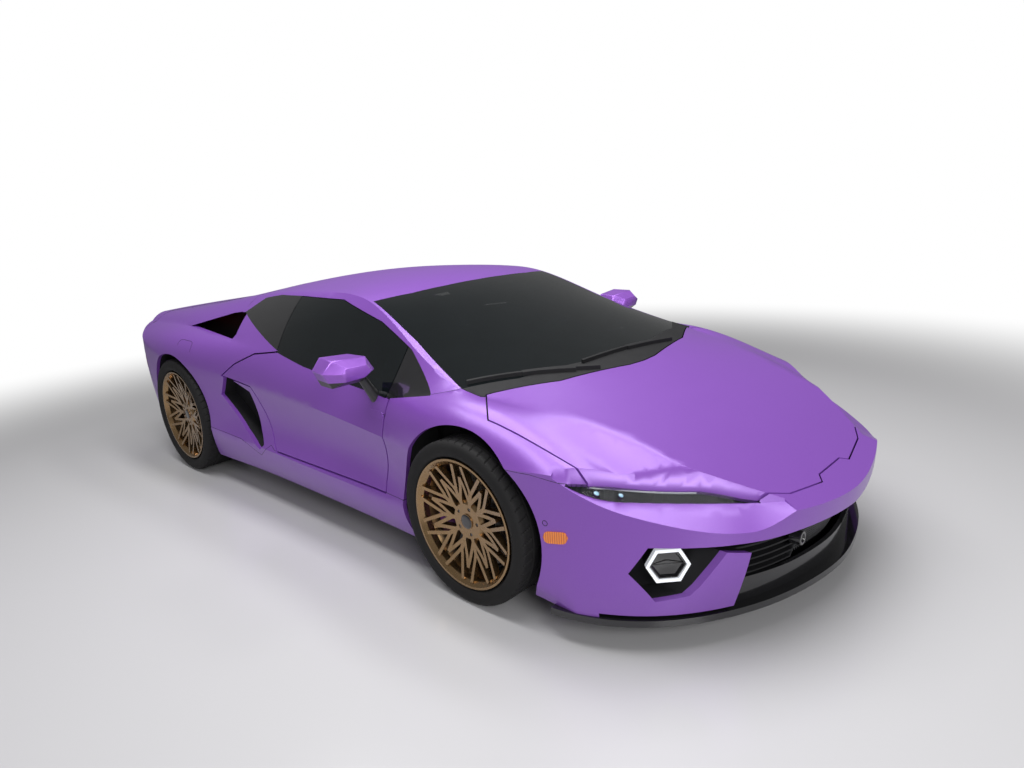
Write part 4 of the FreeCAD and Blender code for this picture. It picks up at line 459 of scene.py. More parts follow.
def moulded_black():
    """Black plastic with a fine moulded grain."""
    finish = Finish("moulded black plastic", Specular_IOR_Level=0.3)
    grain = finish.cells(900)
    colour = finish.blend(finish.noise(20, 3), (0.008, 0.008, 0.009), (0.016, 0.016, 0.018))
    return finish.set(
        Base_Color=colour, Roughness=0.5 + grain * 0.2, Normal=finish.bump(grain, 0.15 * MM)
    )


def window_glass():
    """Dark window glass: a smooth coat over a tint that lets some of the cabin through."""
    finish = Finish("tinted window glass", Coat_Weight=0.5, Coat_Roughness=0.02, IOR=1.4)
    haze = finish.noise(6, 2)
    colour = finish.blend(haze, (0.004, 0.006, 0.007), (0.0056, 0.0084, 0.0098))
    return finish.set(Base_Color=colour, Roughness=0.03 + haze * 0.03, Alpha=0.80 + haze * 0.05)


def lamp_glass():
    """Smoked lens over the lamps, a little blue."""
    finish = Finish("smoked lamp lens", Coat_Weight=0.1, Coat_Roughness=0.03, IOR=1.18)
    haze = finish.noise(5, 2)
    colour = finish.blend(haze, (0.008, 0.010, 0.014), (0.014, 0.018, 0.026))
    return finish.set(Base_Color=colour, Roughness=0.05 + haze * 0.04, Alpha=0.30 + haze * 0.06)


def white_lamp():
    """Opal light guide of the day lamps."""
    finish = Finish("opal light guide", Emission_Strength=0.35, Emission_Color=(0.9, 0.95, 1, 1))
    ribs = finish.cells(160)
    colour = finish.blend(ribs, (0.85, 0.88, 0.92), (0.97, 0.98, 1))
    return finish.set(Base_Color=colour, Roughness=0.16 + ribs * 0.1, Normal=finish.bump(ribs, 0.3 * MM))


def red_lamp():
    """Red tail lamp with fine optics behind its cover."""
    finish = Finish("red lamp", Coat_Weight=1, Coat_Roughness=0.03, Emission_Strength=0.25)
    _, y, z = finish.axes()
    ribs = (y * 420).function("SINE") * (z * 420).function("SINE") * 0.5 + 0.5
    colour = finish.blend(ribs, (0.10, 0.002, 0.004), (0.36, 0.006, 0.010))
    return finish.set(
        Base_Color=colour, Emission_Color=colour, Roughness=0.18 + ribs * 0.08,
        Normal=finish.bump(ribs, 0.5 * MM),
    )


def bronze_rim():
    """Glossy bronze rim lacquer with fine flakes and a little noisy brake dust; deep inside the barrel the
    colour is painted near black as painted shade.
    """
    finish = Finish("bronze lacquer", Metallic=0.95, Coat_Weight=0.4, Coat_Roughness=0.08)
    flake = finish.flakes(1800)
    colour = finish.blend(flake * 0.5, (0.30, 0.185, 0.085), (0.50, 0.33, 0.17))
    dust = finish.noise(25, 4)
    outward = finish.axes()[1].function("ABSOLUTE")
    # Painted shade: the colour goes near black deep inside the barrel, where shade falls; the dust noise
    # darkens a little everywhere
    deep = 1 - outward.step(RIM_SHADE_FULL_Y, RIM_SHADE_END_Y)
    colour = finish.blend((deep * 0.85 + dust * 0.15).clamped(), colour, (0.020, 0.015, 0.012))
    roughness = 0.22 + dust * 0.10 + deep * 0.25
    return finish.set(Base_Color=colour, Roughness=roughness, Normal=finish.bump(flake, 0.02 * MM, 0.4))


def tyre_rubber():
    """Matt black rubber, a little grey where it has rolled."""
    finish = Finish("tyre rubber", Specular_IOR_Level=0.25)
    grain = finish.noise(420, 4, 0.6)
    worn = finish.noise(8, 3)
    colour = finish.blend(worn * 0.6 + grain * 0.3, (0.008, 0.008, 0.009), (0.022, 0.021, 0.021))
    return finish.set(
        Base_Color=colour, Roughness=0.62 + grain * 0.18, Normal=finish.bump(grain, 0.25 * MM)
    )


def wheel_radius(finish):
    """The distance of the surface from its own axle, and the turn round it."""
    x, _, z = finish.axes()
    front = x > (FRONT_AXLE_X + REAR_AXLE_X) / 2
    from_x = x - (REAR_AXLE_X + front * (FRONT_AXLE_X - REAR_AXLE_X))
    from_z = z - (REAR_HUB_Z + front * (FRONT_HUB_Z - REAR_HUB_Z))
    radius = (from_x * from_x + from_z * from_z).function("SQRT")
    return radius, from_z.function("ARCTAN2", from_x)


def drilled_disc():
    """Grey ceramic brake disc: rings left by the pads and rows of drilled holes, painted near black as
    painted shade inside them.
    """
    finish = Finish("brake disc", Metallic=0.85)
    radius, turn = wheel_radius(finish)
    rings = (radius * 5200).function("SINE") * 0.5 + 0.5
    row = (radius / DISC_HOLE_PITCH).function("FLOOR")
    across = (radius / DISC_HOLE_PITCH).function("FRACT") - 0.5
    along = (turn * 9.55 + row * 0.37).function("FRACT") - 0.5
    hole = 1 - (across * across + along * along * 1.6).function("SQRT").step(0.16, 0.20)
    hole = hole * radius.step(*DISC_HOLES_START) * (1 - radius.step(*DISC_HOLES_END))
    metal = finish.blend(rings, (0.20, 0.20, 0.205), (0.30, 0.30, 0.31))
    # Painted shade: the holes are painted near black, standing in for the shade inside them
    colour = finish.blend(hole, metal, (0.010, 0.010, 0.010))
    height = (1 - hole) * (0.92 + rings * 0.08)
    roughness = 0.34 + rings * 0.12 + hole * 0.3
    return finish.set(Base_Color=colour, Roughness=roughness, Normal=finish.bump(height, 1.2 * MM))


def mottled(name, noise, colours, roughness, depth=0, **constants):
    """A finish whose colour, roughness (least, spread) and height all follow one noise."""
    finish = Finish(name, **constants)
    grain = finish.noise(*noise)
    values = {"Base_Color": finish.blend(grain, *colours), "Roughness": roughness[0] + grain * roughness[1]}
    if depth:
        values["Normal"] = finish.bump(grain, depth)
    return finish.set(**values)


def cast_alloy(name, dark, light):
    """Cast light alloy with its sand grain."""
    return mottled(name, (260, 4, 0.65), (dark, light), (0.48, 0.18), 0.5 * MM, Metallic=0.8)


def woven_tub():
    """Dark woven composite under satin lacquer."""
    finish = Finish("woven composite", Coat_Weight=0.5, Coat_Roughness=0.2)
    x, y, z = finish.axes()
    warp = ((x + y) * 1200).function("SINE") * ((y - x + z) * 1200).function("SINE")
    weave = warp * 0.5 + 0.5
    colour = finish.blend(weave, (0.010, 0.010, 0.011), (0.045, 0.045, 0.048))
    return finish.set(Base_Color=colour, Roughness=0.32 + weave * 0.15, Normal=finish.bump(weave, 0.2 * MM))


def cabin_skin():
    """Soft dark cabin covering with a leather-like grain."""
    finish = Finish("cabin covering")
    grain = finish.cells(700, "DISTANCE_TO_EDGE")
    colour = finish.blend(finish.noise(12, 3), (0.020, 0.019, 0.021), (0.038, 0.035, 0.038))
    return finish.set(Base_Color=colour, Roughness=0.55 + grain * 0.2, Normal=finish.bump(grain, 0.4 * MM))


def seat_hide():
    """Dark hide of the seats, with grain and worn, smoother places."""
    finish = Finish("seat hide")
    grain = finish.cells(480, "DISTANCE_TO_EDGE")
    worn = finish.noise(7, 3)
    colour = finish.blend(worn, (0.026, 0.022, 0.027), (0.055, 0.048, 0.056))
    return finish.set(
        Base_Color=colour, Roughness=0.62 - worn * 0.18 + grain * 0.1, Normal=finish.bump(grain, 0.5 * MM)
    )


def amber_lamp():
    """Amber side lamp with upright ribs inside."""
    finish = Finish("amber lamp", Coat_Weight=1, Coat_Roughness=0.03, Emission_Strength=0.08)
    ribs = (finish.axes()[0] * 700).function("SINE") * 0.5 + 0.5
    colour = finish.blend(ribs, (0.55, 0.10, 0.004), (0.90, 0.26, 0.012))
    return finish.set(
        Base_Color=colour, Emission_Color=colour, Roughness=0.16 + ribs * 0.1,
        Normal=finish.bump(ribs, 0.4 * MM),
    )


def projector_glass():
    """Bluish glass of the projectors, with rings."""
    finish = Finish("projector glass", Coat_Weight=1, Coat_Roughness=0.02, Emission_Strength=0.30)
    haze = finish.noise(40, 2)
    colour = finish.blend(haze, (0.16, 0.34, 0.50), (0.50, 0.72, 0.86))
    return finish.set(Base_Color=colour, Emission_Color=colour, Roughness=0.05 + haze * 0.05)


def mirror_paint():
    """The body's purple on top of the mirrors and black plastic under their lower edge."""
    finish = Finish("mirror paint", Metallic=0.25, Coat_Weight=0.18, Coat_Roughness=0.22)
    upper = finish.axes()[2].step(MIRROR_EDGE_Z, MIRROR_EDGE_Z + 1.5 * MM)
    mottle = finish.noise(9, 3)
    paint = finish.blend(mottle, PAINT_DARK, PAINT_LIGHT)
    colour = finish.blend(upper, (0.012, 0.012, 0.013), paint)
    return finish.set(Base_Color=colour, Metallic=upper * 0.32, Roughness=0.30 + mottle * 0.1)


def hub_height(axle):
    """The height of an axle's hub, the middle of its tyre's box."""
    low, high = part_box(f"{axle}_tyre_left")
    return (low.z + high.z) / 2


FRONT_HUB_Z = hub_height("front")
REAR_HUB_Z = hub_height("rear")

FINISHES = {
    "paint": satin_paint(),
    "black_gloss": gloss_black(),
    "black_plastic": moulded_black(),
    "dark_glass": window_glass(),
    "clear_lens": lamp_glass(),
    "lamp_white": white_lamp(),
    "lamp_red": red_lamp(),
    "bronze": bronze_rim(),
    "tyre": tyre_rubber(),
    "disc_steel": drilled_disc(),
    "caliper_paint": mottled(
        "purple enamel", (30, 3), ((0.20, 0.035, 0.33), (0.28, 0.06, 0.44)), (0.24, 0.1), 0.3 * MM,
        Coat_Weight=0.7, Coat_Roughness=0.08),
    "cast_metal": cast_alloy("cast alloy", (0.20, 0.20, 0.21), (0.34, 0.34, 0.36)),
    "chassis": woven_tub(),
    "engine": cast_alloy("engine castings", (0.15, 0.15, 0.16), (0.28, 0.28, 0.30)),
    "seat_leather": seat_hide(),
    "cabin_trim": cabin_skin(),
    "exhaust_steel": mottled(
        "tail pipe steel", (60, 4, 0.7), ((0.26, 0.22, 0.18), (0.46, 0.42, 0.38)), (0.26, 0.16), 0.1 * MM,
        Metallic=1),
}

AMBER_LAMP = amber_lamp()
MIRROR_PAINT = mirror_paint()
PROJECTOR_GLASS = projector_glass()
GRILLE_WIRE = mottled(
    "grille wire", (50, 3), ((0.10, 0.10, 0.105), (0.20, 0.20, 0.21)), (0.38, 0.15), Metallic=0.5)
BLANK_PLATE = mottled(
    "blank plate", (35, 4), ((0.50, 0.50, 0.50), (0.62, 0.62, 0.62)), (0.35, 0.15), 0.1 * MM,
    Coat_Weight=0.2, Coat_Roughness=0.1)
NODE_FINISHES = {
    "mirror_left": MIRROR_PAINT,
    "mirror_right": MIRROR_PAINT,
    "headlamp_housings": FINISHES["black_plastic"],
}


def dress_node(name, slot):
    """Gives a CAD node its finish and smooth shading up to its sharp edges."""
    piece = nodes[name]
    piece.data.materials.clear()
    piece.data.materials.append(NODE_FINISHES.get(name, FINISHES[slot]))
    smooth = np.ones(len(piece.data.polygons), dtype=bool)
    piece.data.polygons.foreach_set("use_smooth", smooth)
    weld = piece.modifiers.new("weld", "WELD")
    weld.merge_threshold = WELD_DISTANCE
    split = piece.modifiers.new("sharp edges", "EDGE_SPLIT")
    split.split_angle = NODE_SMOOTH_ANGLES.get(name, SMOOTH_ANGLE)


def dress_nodes():
    """Every CAD node in the finish of its slot."""
    for part in record["subparts"]:
        dress_node(part["node"], part["material_slot"])


# Meshes worked out as whole arrays


def grid_faces(rows, columns, wrap_rows=False, wrap_columns=False):
    """Four-cornered faces between the neighbours of a grid, which may close on itself."""
    row = np.arange(rows if wrap_rows else rows - 1)[:, None]
    column = np.arange(columns if wrap_columns else columns - 1)[None, :]
    next_row = (row + 1) % rows
    next_column = (column + 1) % columns
    corners = [
        row * columns + column, next_row * columns + column,
        next_row * columns + next_column, row * columns + next_column,
    ]
    return np.stack(np.broadcast_arrays(*corners), axis=-1).reshape(-1, 4)


def surface(points, wrap_rows=False, wrap_columns=False):
    """A grid of points as a surface: its points in one list, and its faces."""
    rows, columns = points.shape[:2]
    return points.reshape(-1, 3), grid_faces(rows, columns, wrap_rows, wrap_columns)


def joined(surfaces):
    """Several surfaces as one."""
    starts = np.cumsum([0] + [len(points) for points, faces in surfaces[:-1]])
    points = np.concatenate([points for points, faces in surfaces])
    faces = np.concatenate([faces + start for start, (_, faces) in zip(starts, surfaces)])
    return points, faces


def moved(surfaces, shift=(0, 0, 0), turn=0, axis="Z"):
    """Surfaces turned round an axis through the origin and then shifted."""
    matrix = np.array(Matrix.Rotation(turn, 3, axis))
    return [(points @ matrix.T + shift, faces) for points, faces in surfaces]


def mirrored(surfaces, side):
    """Surfaces of the left side as they are, or put over to the right."""
    flip = np.array((1, SIDES[side], 1))
    return [(points * flip, faces) for points, faces in surfaces]


def add_piece(name, surfaces, slot, body, finish=None):
    """A piece of closed surfaces: doubles merged, faces outwards, finished and put on a body."""
    points, faces = joined(surfaces)
    data = bpy.data.meshes.new(name)
    data.from_pydata(points, [], faces)
    shell = bmesh.new()
    shell.from_mesh(data)
    bmesh.ops.remove_doubles(shell, verts=shell.verts, dist=DOUBLE_DISTANCE)
    bmesh.ops.dissolve_degenerate(shell, edges=shell.edges, dist=DOUBLE_DISTANCE)
    bmesh.ops.recalc_face_normals(shell, faces=shell.faces)
    shell.to_mesh(data)
    shell.free()
    data.shade_smooth()
    data.set_sharp_from_angle(angle=SMOOTH_ANGLE)
    data.materials.append(finish or FINISHES[slot])
    piece = bpy.data.objects.new(name, data)
    bpy.context.scene.collection.objects.link(piece)
    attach(piece, body)
    return piece


def in_metres(profile):
    """A profile that is written in millimetres."""
    return np.array(profile) * MM


def unit(vectors):
    """Vectors of length one."""
    return vectors / np.linalg.norm(vectors, axis=-1, keepdims=True)


def smooth_line(keys, count):
    """count points on a curve through the keys: cubic spans whose slopes come from the neighbours."""
    keys = np.asarray(keys, dtype=float)
    slopes = np.gradient(keys, axis=0)
    place = np.linspace(0, len(keys) - 1, count)
    first = np.minimum(place.astype(int), len(keys) - 2)
    share = (place - first)[:, None]
    start_weight = 2 * share ** 3 - 3 * share ** 2 + 1
    slope_weight = share ** 3 - 2 * share ** 2 + share
    end_slope_weight = share ** 3 - share ** 2
    return (
        keys[first] * start_weight + slopes[first] * slope_weight
        + keys[first + 1] * (1 - start_weight) + slopes[first + 1] * end_slope_weight
    )


def oval(half_width, half_height, sides=8, squareness=1.0):
    """A closed profile, squarer where squareness is under one.

    Point = (half width * cos u, half height * sin u), cosine and sine raised to squareness.
    """
    turn = (np.arange(sides) + 0.5) * 2 * np.pi / sides
    across = np.sign(np.cos(turn)) * np.abs(np.cos(turn)) ** squareness
    upward = np.sign(np.sin(turn)) * np.abs(np.sin(turn)) ** squareness
    return np.stack([across * half_width, upward * half_height], axis=1)


def bar(path, profile, up=(0, 0, 1), closed=False):
    """A profile carried along a path. Open ends are drawn in to the path's own end.

    Point (s, k) = path(s) + side(s) * profile(k) across + top(s) * profile(k) up.
    """
    path = np.asarray(path, dtype=float)
    if closed:
        ahead = np.roll(path, -1, axis=0) - np.roll(path, 1, axis=0)
    else:
        ahead = np.gradient(path, axis=0)
    side = unit(np.cross(ahead, up))
    top = unit(np.cross(side, ahead))
    rings = path[:, None] + side[:, None] * profile[None, :, :1] + top[:, None] * profile[None, :, 1:]
    if not closed:
        start = np.broadcast_to(path[0], rings[:1].shape)
        end = np.broadcast_to(path[-1], rings[:1].shape)
        rings = np.concatenate([start, rings, end])
    return surface(rings, closed, True)


def many_bars(starts, ends, up, profile):
    """Straight bars, one from each start to its end, with closed ends, as one surface."""
    side = unit(np.cross(ends - starts, up))
    top = unit(np.cross(side, ends - starts))
    offsets = side[:, None] * profile[None, :, :1] + top[:, None] * profile[None, :, 1:]
    hollow = np.zeros_like(offsets)
    rings = np.stack([
        starts[:, None] + hollow, starts[:, None] + offsets, ends[:, None] + offsets, ends[:, None] + hollow,
    ], axis=1)
    count, sides = len(starts), len(profile)
    faces = grid_faces(4, sides, False, True)
    first = np.arange(count)[:, None, None] * 4 * sides
    return rings.reshape(-1, 3), (faces[None] + first).reshape(-1, 4)


def turned(profile, centre, sides=48, axis=1, closed=False):
    """A profile of (along, radius) pairs turned round a line through the centre along an axis.

    Point (k, u) = centre + (along(k), radius(k) * sin u, radius(k) * cos u), the axis first.
    """
    along, radius = np.asarray(profile, dtype=float).T
    turn = np.arange(sides) * 2 * np.pi / sides
    points = np.empty((len(along), sides, 3))
    points[..., axis] = along[:, None]
    points[..., (axis + 1) % 3] = radius[:, None] * np.sin(turn)
    points[..., (axis + 2) % 3] = radius[:, None] * np.cos(turn)
    return surface(points + centre, closed, True)


def power(values, exponent):
    """Values raised to a power with their signs kept."""
    return np.sign(values) * np.abs(values) ** exponent


def pad(half_size, squareness, channels=(), rows=28, columns=56):
    """A crowned closed pad about the origin, a superellipsoid.

    Point = half size * (cos u * cos v, cos u * sin v, sin u), each cosine and sine raised to
    squareness. Channels are sewn grooves along X, each a dip exp(-(distance / width) ** 2).
    """
    up_turn = np.linspace(-np.pi / 2, np.pi / 2, rows)[:, None]
    turn = np.linspace(-np.pi, np.pi, columns, endpoint=False)[None, :]
    x = power(np.cos(up_turn), squareness) * power(np.cos(turn), squareness) * half_size[0]
    y = power(np.cos(up_turn), squareness) * power(np.sin(turn), squareness) * half_size[1]
    z = power(np.sin(up_turn), squareness) * half_size[2] * np.ones_like(turn)
    crown = 1 - CROWN_SHARE * ((x / half_size[0]) ** 2 + (y / half_size[1]) ** 2) / 2
    for place in channels:
        dip = CHANNEL_DEPTH * np.exp(-((y - place * half_size[1]) / CHANNEL_WIDTH) ** 2)
        z = z - np.sign(z) * dip
    return surface(np.stack([x, y, z * crown], axis=-1), False, True)


def slab(half_size, squareness=0.18):
    """A hard slab about the origin with well rounded edges."""
    return pad(half_size, squareness, rows=SLAB_ROWS, columns=SLAB_COLUMNS)


# Shapes taken from the CAD nodes


def evaluated_points(piece):
    """The points of a piece after its modifiers."""
    graph = bpy.context.evaluated_depsgraph_get()
    data = piece.evaluated_get(graph).data
    points = np.empty(len(data.vertices) * 3)
    data.vertices.foreach_get("co", points)
    return points.reshape(-1, 3)


def laid_on(points, node, direction=None):
    """Points moved to the nearest place on a node, or cast on it along a direction's axis."""
    data = bpy.data.meshes.new("probe")
    data.from_pydata(points, [], [])
    probe = bpy.data.objects.new("probe", data)
    bpy.context.scene.collection.objects.link(probe)
    wrap = probe.modifiers.new("wrap", "SHRINKWRAP")
    wrap.target = nodes[node]
    if direction is not None:
        wrap.wrap_method = "PROJECT"
        wrap.use_project_x, wrap.use_project_y, wrap.use_project_z = [part != 0 for part in direction]
        forward = sum(direction) > 0
        wrap.use_positive_direction = forward
        wrap.use_negative_direction = not forward
    result = evaluated_points(probe)
    bpy.data.objects.remove(probe)
    bpy.data.meshes.remove(data)
    return result


def node_mesh(name):
    """A node's points with the doubles merged, and its triangles."""
    data = nodes[name].data
    points = np.empty(len(data.vertices) * 3)
    data.vertices.foreach_get("co", points)
    corners = np.empty(len(data.loops), dtype=np.int32)
    data.loops.foreach_get("vertex_index", corners)
    points = points.reshape(-1, 3)
    keys = np.round(points / WELD_DISTANCE).astype(np.int64)
    _, first, inverse = np.unique(keys, axis=0, return_index=True, return_inverse=True)
    return points[first], inverse.ravel()[corners].reshape(-1, 3)


def face_normals(points, triangles):
    """The unit normals of triangles."""
    a, b, c = points[triangles].transpose(1, 0, 2)
    normals = np.cross(b - a, c - a)
    return normals / np.maximum(np.linalg.norm(normals, axis=1, keepdims=True), LEAST_AREA)


def shared_edges(name):
    """The ends of each edge that two triangles of a node share, and the two normals there."""
    points, triangles = node_mesh(name)
    normals = face_normals(points, triangles)
    edges = np.sort(triangles[:, [0, 1, 1, 2, 2, 0]].reshape(-1, 2), axis=1)
    kept, inverse, counts = np.unique(edges, axis=0, return_inverse=True, return_counts=True)
    order = np.argsort(inverse.ravel(), kind="stable") // 3
    paired = counts == 2
    starts = (np.cumsum(counts) - counts)[paired]
    return points[kept[paired]], normals[order[starts]], normals[order[starts + 1]]


def outer_edges(name):
    """The ends of a node's sharp outer edges, and which way is out at each."""
    ends, first, second = shared_edges(name)
    middle = ends.mean(axis=1)
    outward = unit(middle * (0, 1, 1) - (0, 0, BODY_AXIS_Z) + (middle[:, :1] * (NOSE_LEAN, 0, 0)))
    first_out = (first * outward).sum(axis=1)
    second_out = (second * outward).sum(axis=1)
    skin = np.where((first_out > second_out)[:, None], first, second)
    sharp = (first * second).sum(axis=1) < math.cos(SEAM_ANGLE)
    sharp &= np.maximum(first_out, second_out) > LEAST_OUTWARD
    return ends[sharp], skin[sharp]


def seam(name, neighbour):
    """Thin dark lines along a node's outer edges where they meet a neighbour."""
    ends, skin = outer_edges(name)
    flat = ends.reshape(-1, 3)
    gap = np.linalg.norm(laid_on(flat, neighbour) - flat, axis=1).reshape(-1, 2).max(axis=1)
    length = np.linalg.norm(ends[:, 1] - ends[:, 0], axis=1)
    near = (gap < SEAM_REACH) & (length > SEAM_REACH)
    ends, skin = ends[near], skin[near]
    sunk = skin[:, None] * SEAM_SUNK
    along = unit(ends[:, 1] - ends[:, 0])[:, None] * np.array([-1, 1])[None, :, None] * SEAM_RADIUS / 2
    ends = ends - sunk + along
    return many_bars(ends[:, 0], ends[:, 1], skin, oval(SEAM_RADIUS, SEAM_RADIUS, LINE_SIDES))


def seams():
    """The joints between the fixed panels."""
    add_piece("panel_joints", [seam(*pair) for pair in SEAM_PAIRS], "black_plastic", "car_body")


# Wheels


def wheel_place(axle, side):
    """The middle of a wheel and its tyre's half width and radius."""
    low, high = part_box(f"{axle}_tyre_{side}")
    centre = np.array((low + high) / 2)
    return centre, (high.y - low.y) / 2, (high.z - low.z) / 2


def tyre_outline(half, radius, rim_radius):
    """The section of a tyre from bead to bead over the crown, as rows of (across, radius).

    Crown radius = outer radius - shoulder drop * (across / crown's edge) ** CROWN_POWER.
    """
    wall = radius - rim_radius
    keys = np.array(TYRE_WALL_SHARES) * (half, wall) + (0, rim_radius)
    side = smooth_line(keys, TYRE_WALL_ROWS)
    crown_edge = side[-1, 0]
    crown = np.linspace(crown_edge, -crown_edge, TYRE_CROWN_ROWS)[1:-1]
    crown_radius = radius - (radius - side[-1, 1]) * np.abs(crown / crown_edge) ** CROWN_POWER
    middle = np.stack([crown, crown_radius], axis=1)
    other = side[::-1] * (-1, 1)
    return np.concatenate([side, middle, other])


def tread_depth(axle, across, turn, half):
    """How deep the tread is cut at each point across a tyre and round it.

    Depth = the greater of groove depth * groove(across) and slot depth * slot(turn, across). Ring
    grooves lie at shares of the half width. Slots are slanted lines that bend at the middle.
    """
    ring = np.zeros_like(across)
    for share in RING_GROOVE_SHARES:
        away = np.abs(across - share * half) - GROOVE_HALF
        ring = np.maximum(ring, 1 - np.clip(away / GROOVE_SLOPE, 0, 1))
    share_across = np.abs(across) / half
    phase = (turn * SLOT_COUNT[axle] / (2 * np.pi) + share_across * SLOT_LEAN) % 1
    slot = (phase < SLOT_SHARE) & (share_across > SLOT_START_SHARE)
    inner_phase = (turn * SLOT_COUNT[axle] / (4 * np.pi) - across / half * SLOT_LEAN) % 1
    middle_start, middle_end = MIDDLE_SLOT_SHARES
    slot |= (inner_phase < SLOT_SHARE / 2) & (share_across > middle_start) & (share_across < middle_end)
    return np.maximum(ring * GROOVE_DEPTH, slot * SLOT_DEPTH)


def road_tyre(axle, side):
    """A tyre with its tread and side walls.

    Radius = outline - tread depth. The walls are drawn in a little, by ridge height * (1 - ridge),
    where ridge = exp(-((height over the rim - ridge's height) / width) ** 2).
    """
    centre, half, radius = wheel_place(axle, side)
    rim_radius = radius - TYRE_WALL_HEIGHT[axle]
    outline = tyre_outline(half, radius, rim_radius)
    across, base = outline[:, :1], outline[:, 1:]
    turn = np.arange(TYRE_COLUMNS)[None, :] * 2 * np.pi / TYRE_COLUMNS
    on_tread = base > radius - TREAD_REACH
    depth = tread_depth(axle, across, turn, half) * on_tread
    ridge = np.exp(-((base - rim_radius - WALL_RIDGE_HEIGHT) / WALL_RIDGE_WIDTH) ** 2)
    bulge = np.sign(across) * (ridge - 1) * WALL_RIDGE_PROUD * (1 - on_tread)
    points = np.stack([
        (base - depth) * np.cos(turn), (across + bulge) * np.ones_like(turn), (base - depth) * np.sin(turn),
    ], axis=-1)
    piece = add_piece(
        f"road_tyre_{axle}_{side}", [surface(points + centre, True, True)], "tyre", f"{axle}_wheel_{side}")
    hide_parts(f"{axle}_tyre_{side}")


def wheel_bolts(axle, side):
    """Five bolts with six-sided heads and the blank cap in the middle."""
    centre, _, _ = wheel_place(axle, side)
    hub_face = np.array((0, RIM_HALF[axle] - HUB_FACE_INSET, 0))
    bolts = []
    for index in range(BOLT_COUNT):
        turn = 2 * math.pi * index / BOLT_COUNT
        foot = hub_face + (BOLT_CIRCLE * math.cos(turn), 0, BOLT_CIRCLE * math.sin(turn))
        bolts.append(turned(in_metres(BOLT_SEAT_STEPS), foot, BOLT_SEAT_SIDES))
        bolts.append(turned(in_metres(BOLT_HEAD_STEPS), foot, BOLT_HEAD_SIDES))
    cap = [turned(in_metres(CAP_STEPS), hub_face)]
    body = f"{axle}_wheel_{side}"
    add_piece(f"wheel_bolts_{axle}_{side}", moved(mirrored(bolts, side), centre), "cast_metal", body)
    add_piece(f"hub_cap_{axle}_{side}", moved(mirrored(cap, side), centre), "black_gloss", body)


def wheels():
    """Tyres, bolts and caps of all four wheels."""
    for axle in ("front", "rear"):
        for side in SIDES:
            road_tyre(axle, side)
            wheel_bolts(axle, side)


# Nose and tail


def fitted_sheet(name, low, high, ahead=1):
    """A node's sheet between two corners, facing ahead (1) or behind (-1), as X of (Y, Z).

    X = the least-squares sum of weight * Y ** (2 i) * Z ** j.
    """
    points, triangles = node_mesh(name)
    facing = face_normals(points, triangles)[:, 0] * ahead > SHEET_FACING
    middles = points[triangles[facing]].mean(axis=1)
    inside = np.all((middles > low) & (middles < high), axis=1)
    spots = middles[inside]

    def terms(y, z):
        """Even powers of Y times powers of Z."""
        return np.stack(
            [y ** (2 * i) * z ** j for i in range(SHEET_Y_TERMS) for j in range(SHEET_Z_TERMS)], axis=-1)

    weights = np.linalg.lstsq(terms(spots[:, 1], spots[:, 2]), spots[:, 0], rcond=None)[0]
    return lambda y, z: terms(y, z) @ weights


def honeycomb(low, high, pitch):
    """The bars of six-sided cells between two (Y, Z) corners: starts and ends of all bars.

    Cell centres lie at (i + j / 2, j * sqrt(3) / 2) * pitch. Each cell gives the three bars
    between its corners at 30, 90, 150 and 210 degrees.
    """
    height = pitch * math.sqrt(3) / 2
    rows = int((high[1] - low[1]) / height)
    columns = int((high[0] - low[0]) / pitch)
    j, i = np.meshgrid(np.arange(rows), np.arange(columns), indexing="ij")
    centres = np.stack([low[0] + (i + (j % 2) / 2) * pitch, low[1] + j * height], axis=-1).reshape(-1, 2)
    turns = np.radians([30, 90, 150, 210])
    spokes = np.stack([np.cos(turns), np.sin(turns)], axis=-1) * pitch / math.sqrt(3)
    corners = centres[:, None] + spokes[None]
    return corners[:, :-1].reshape(-1, 2), corners[:, 1:].reshape(-1, 2)


def wire_mesh(sheet, span, proud):
    """Six-sided mesh between a span's two (Y, Z) corners, proud of a sheet."""
    starts, ends = [
        np.stack([sheet(flat[:, 0], flat[:, 1]) + proud, flat[:, 0], flat[:, 1]], axis=-1)
        for flat in honeycomb(*span, MESH_PITCH)]
    return many_bars(starts, ends, (1, 0, 0), oval(MESH_WIRE, MESH_WIRE * MESH_WIRE_DEPTH, MESH_WIRE_SIDES))


def sheet_x(sheet, place):
    """A sheet's X at one (Y, Z) place."""
    return float(sheet(np.array(place[0]), np.array(place[1])))


def front_mesh():
    """Wire mesh in front of the grille's sheet, and the round sensor beside it."""
    sheet = fitted_sheet("front_grille", *FRONT_MESH_SEARCH)
    mesh = wire_mesh(sheet, FRONT_MESH_SPAN, MESH_PROUD)
    add_piece("front_mesh", [mesh], "cast_metal", "car_body", finish=GRILLE_WIRE)
    centre = (sheet_x(sheet, SENSOR_PLACE) + SENSOR_FORWARD, *SENSOR_PLACE)
    sensor = turned(in_metres(SENSOR_STEPS), centre, SENSOR_SIDES, axis=0)
    add_piece("nose_sensor", [sensor], "black_gloss", "car_body")


def rear_mesh():
    """Wire mesh over the rear grille's sheet, and the blank plate in its middle."""
    sheet = fitted_sheet("rear_grille", *REAR_MESH_SEARCH, ahead=-1)
    mesh = wire_mesh(sheet, REAR_MESH_SPAN, -MESH_PROUD)
    add_piece("rear_mesh", [mesh], "cast_metal", "car_body", finish=GRILLE_WIRE)
    place = (sheet_x(sheet, REAR_PLATE_PLACE) - REAR_PLATE_BEHIND, *REAR_PLATE_PLACE)
    plate = moved([slab(REAR_PLATE_HALF, REAR_PLATE_SQUARENESS)], place)
    add_piece("rear_plate", plate, "lamp_white", "car_body", finish=BLANK_PLATE)


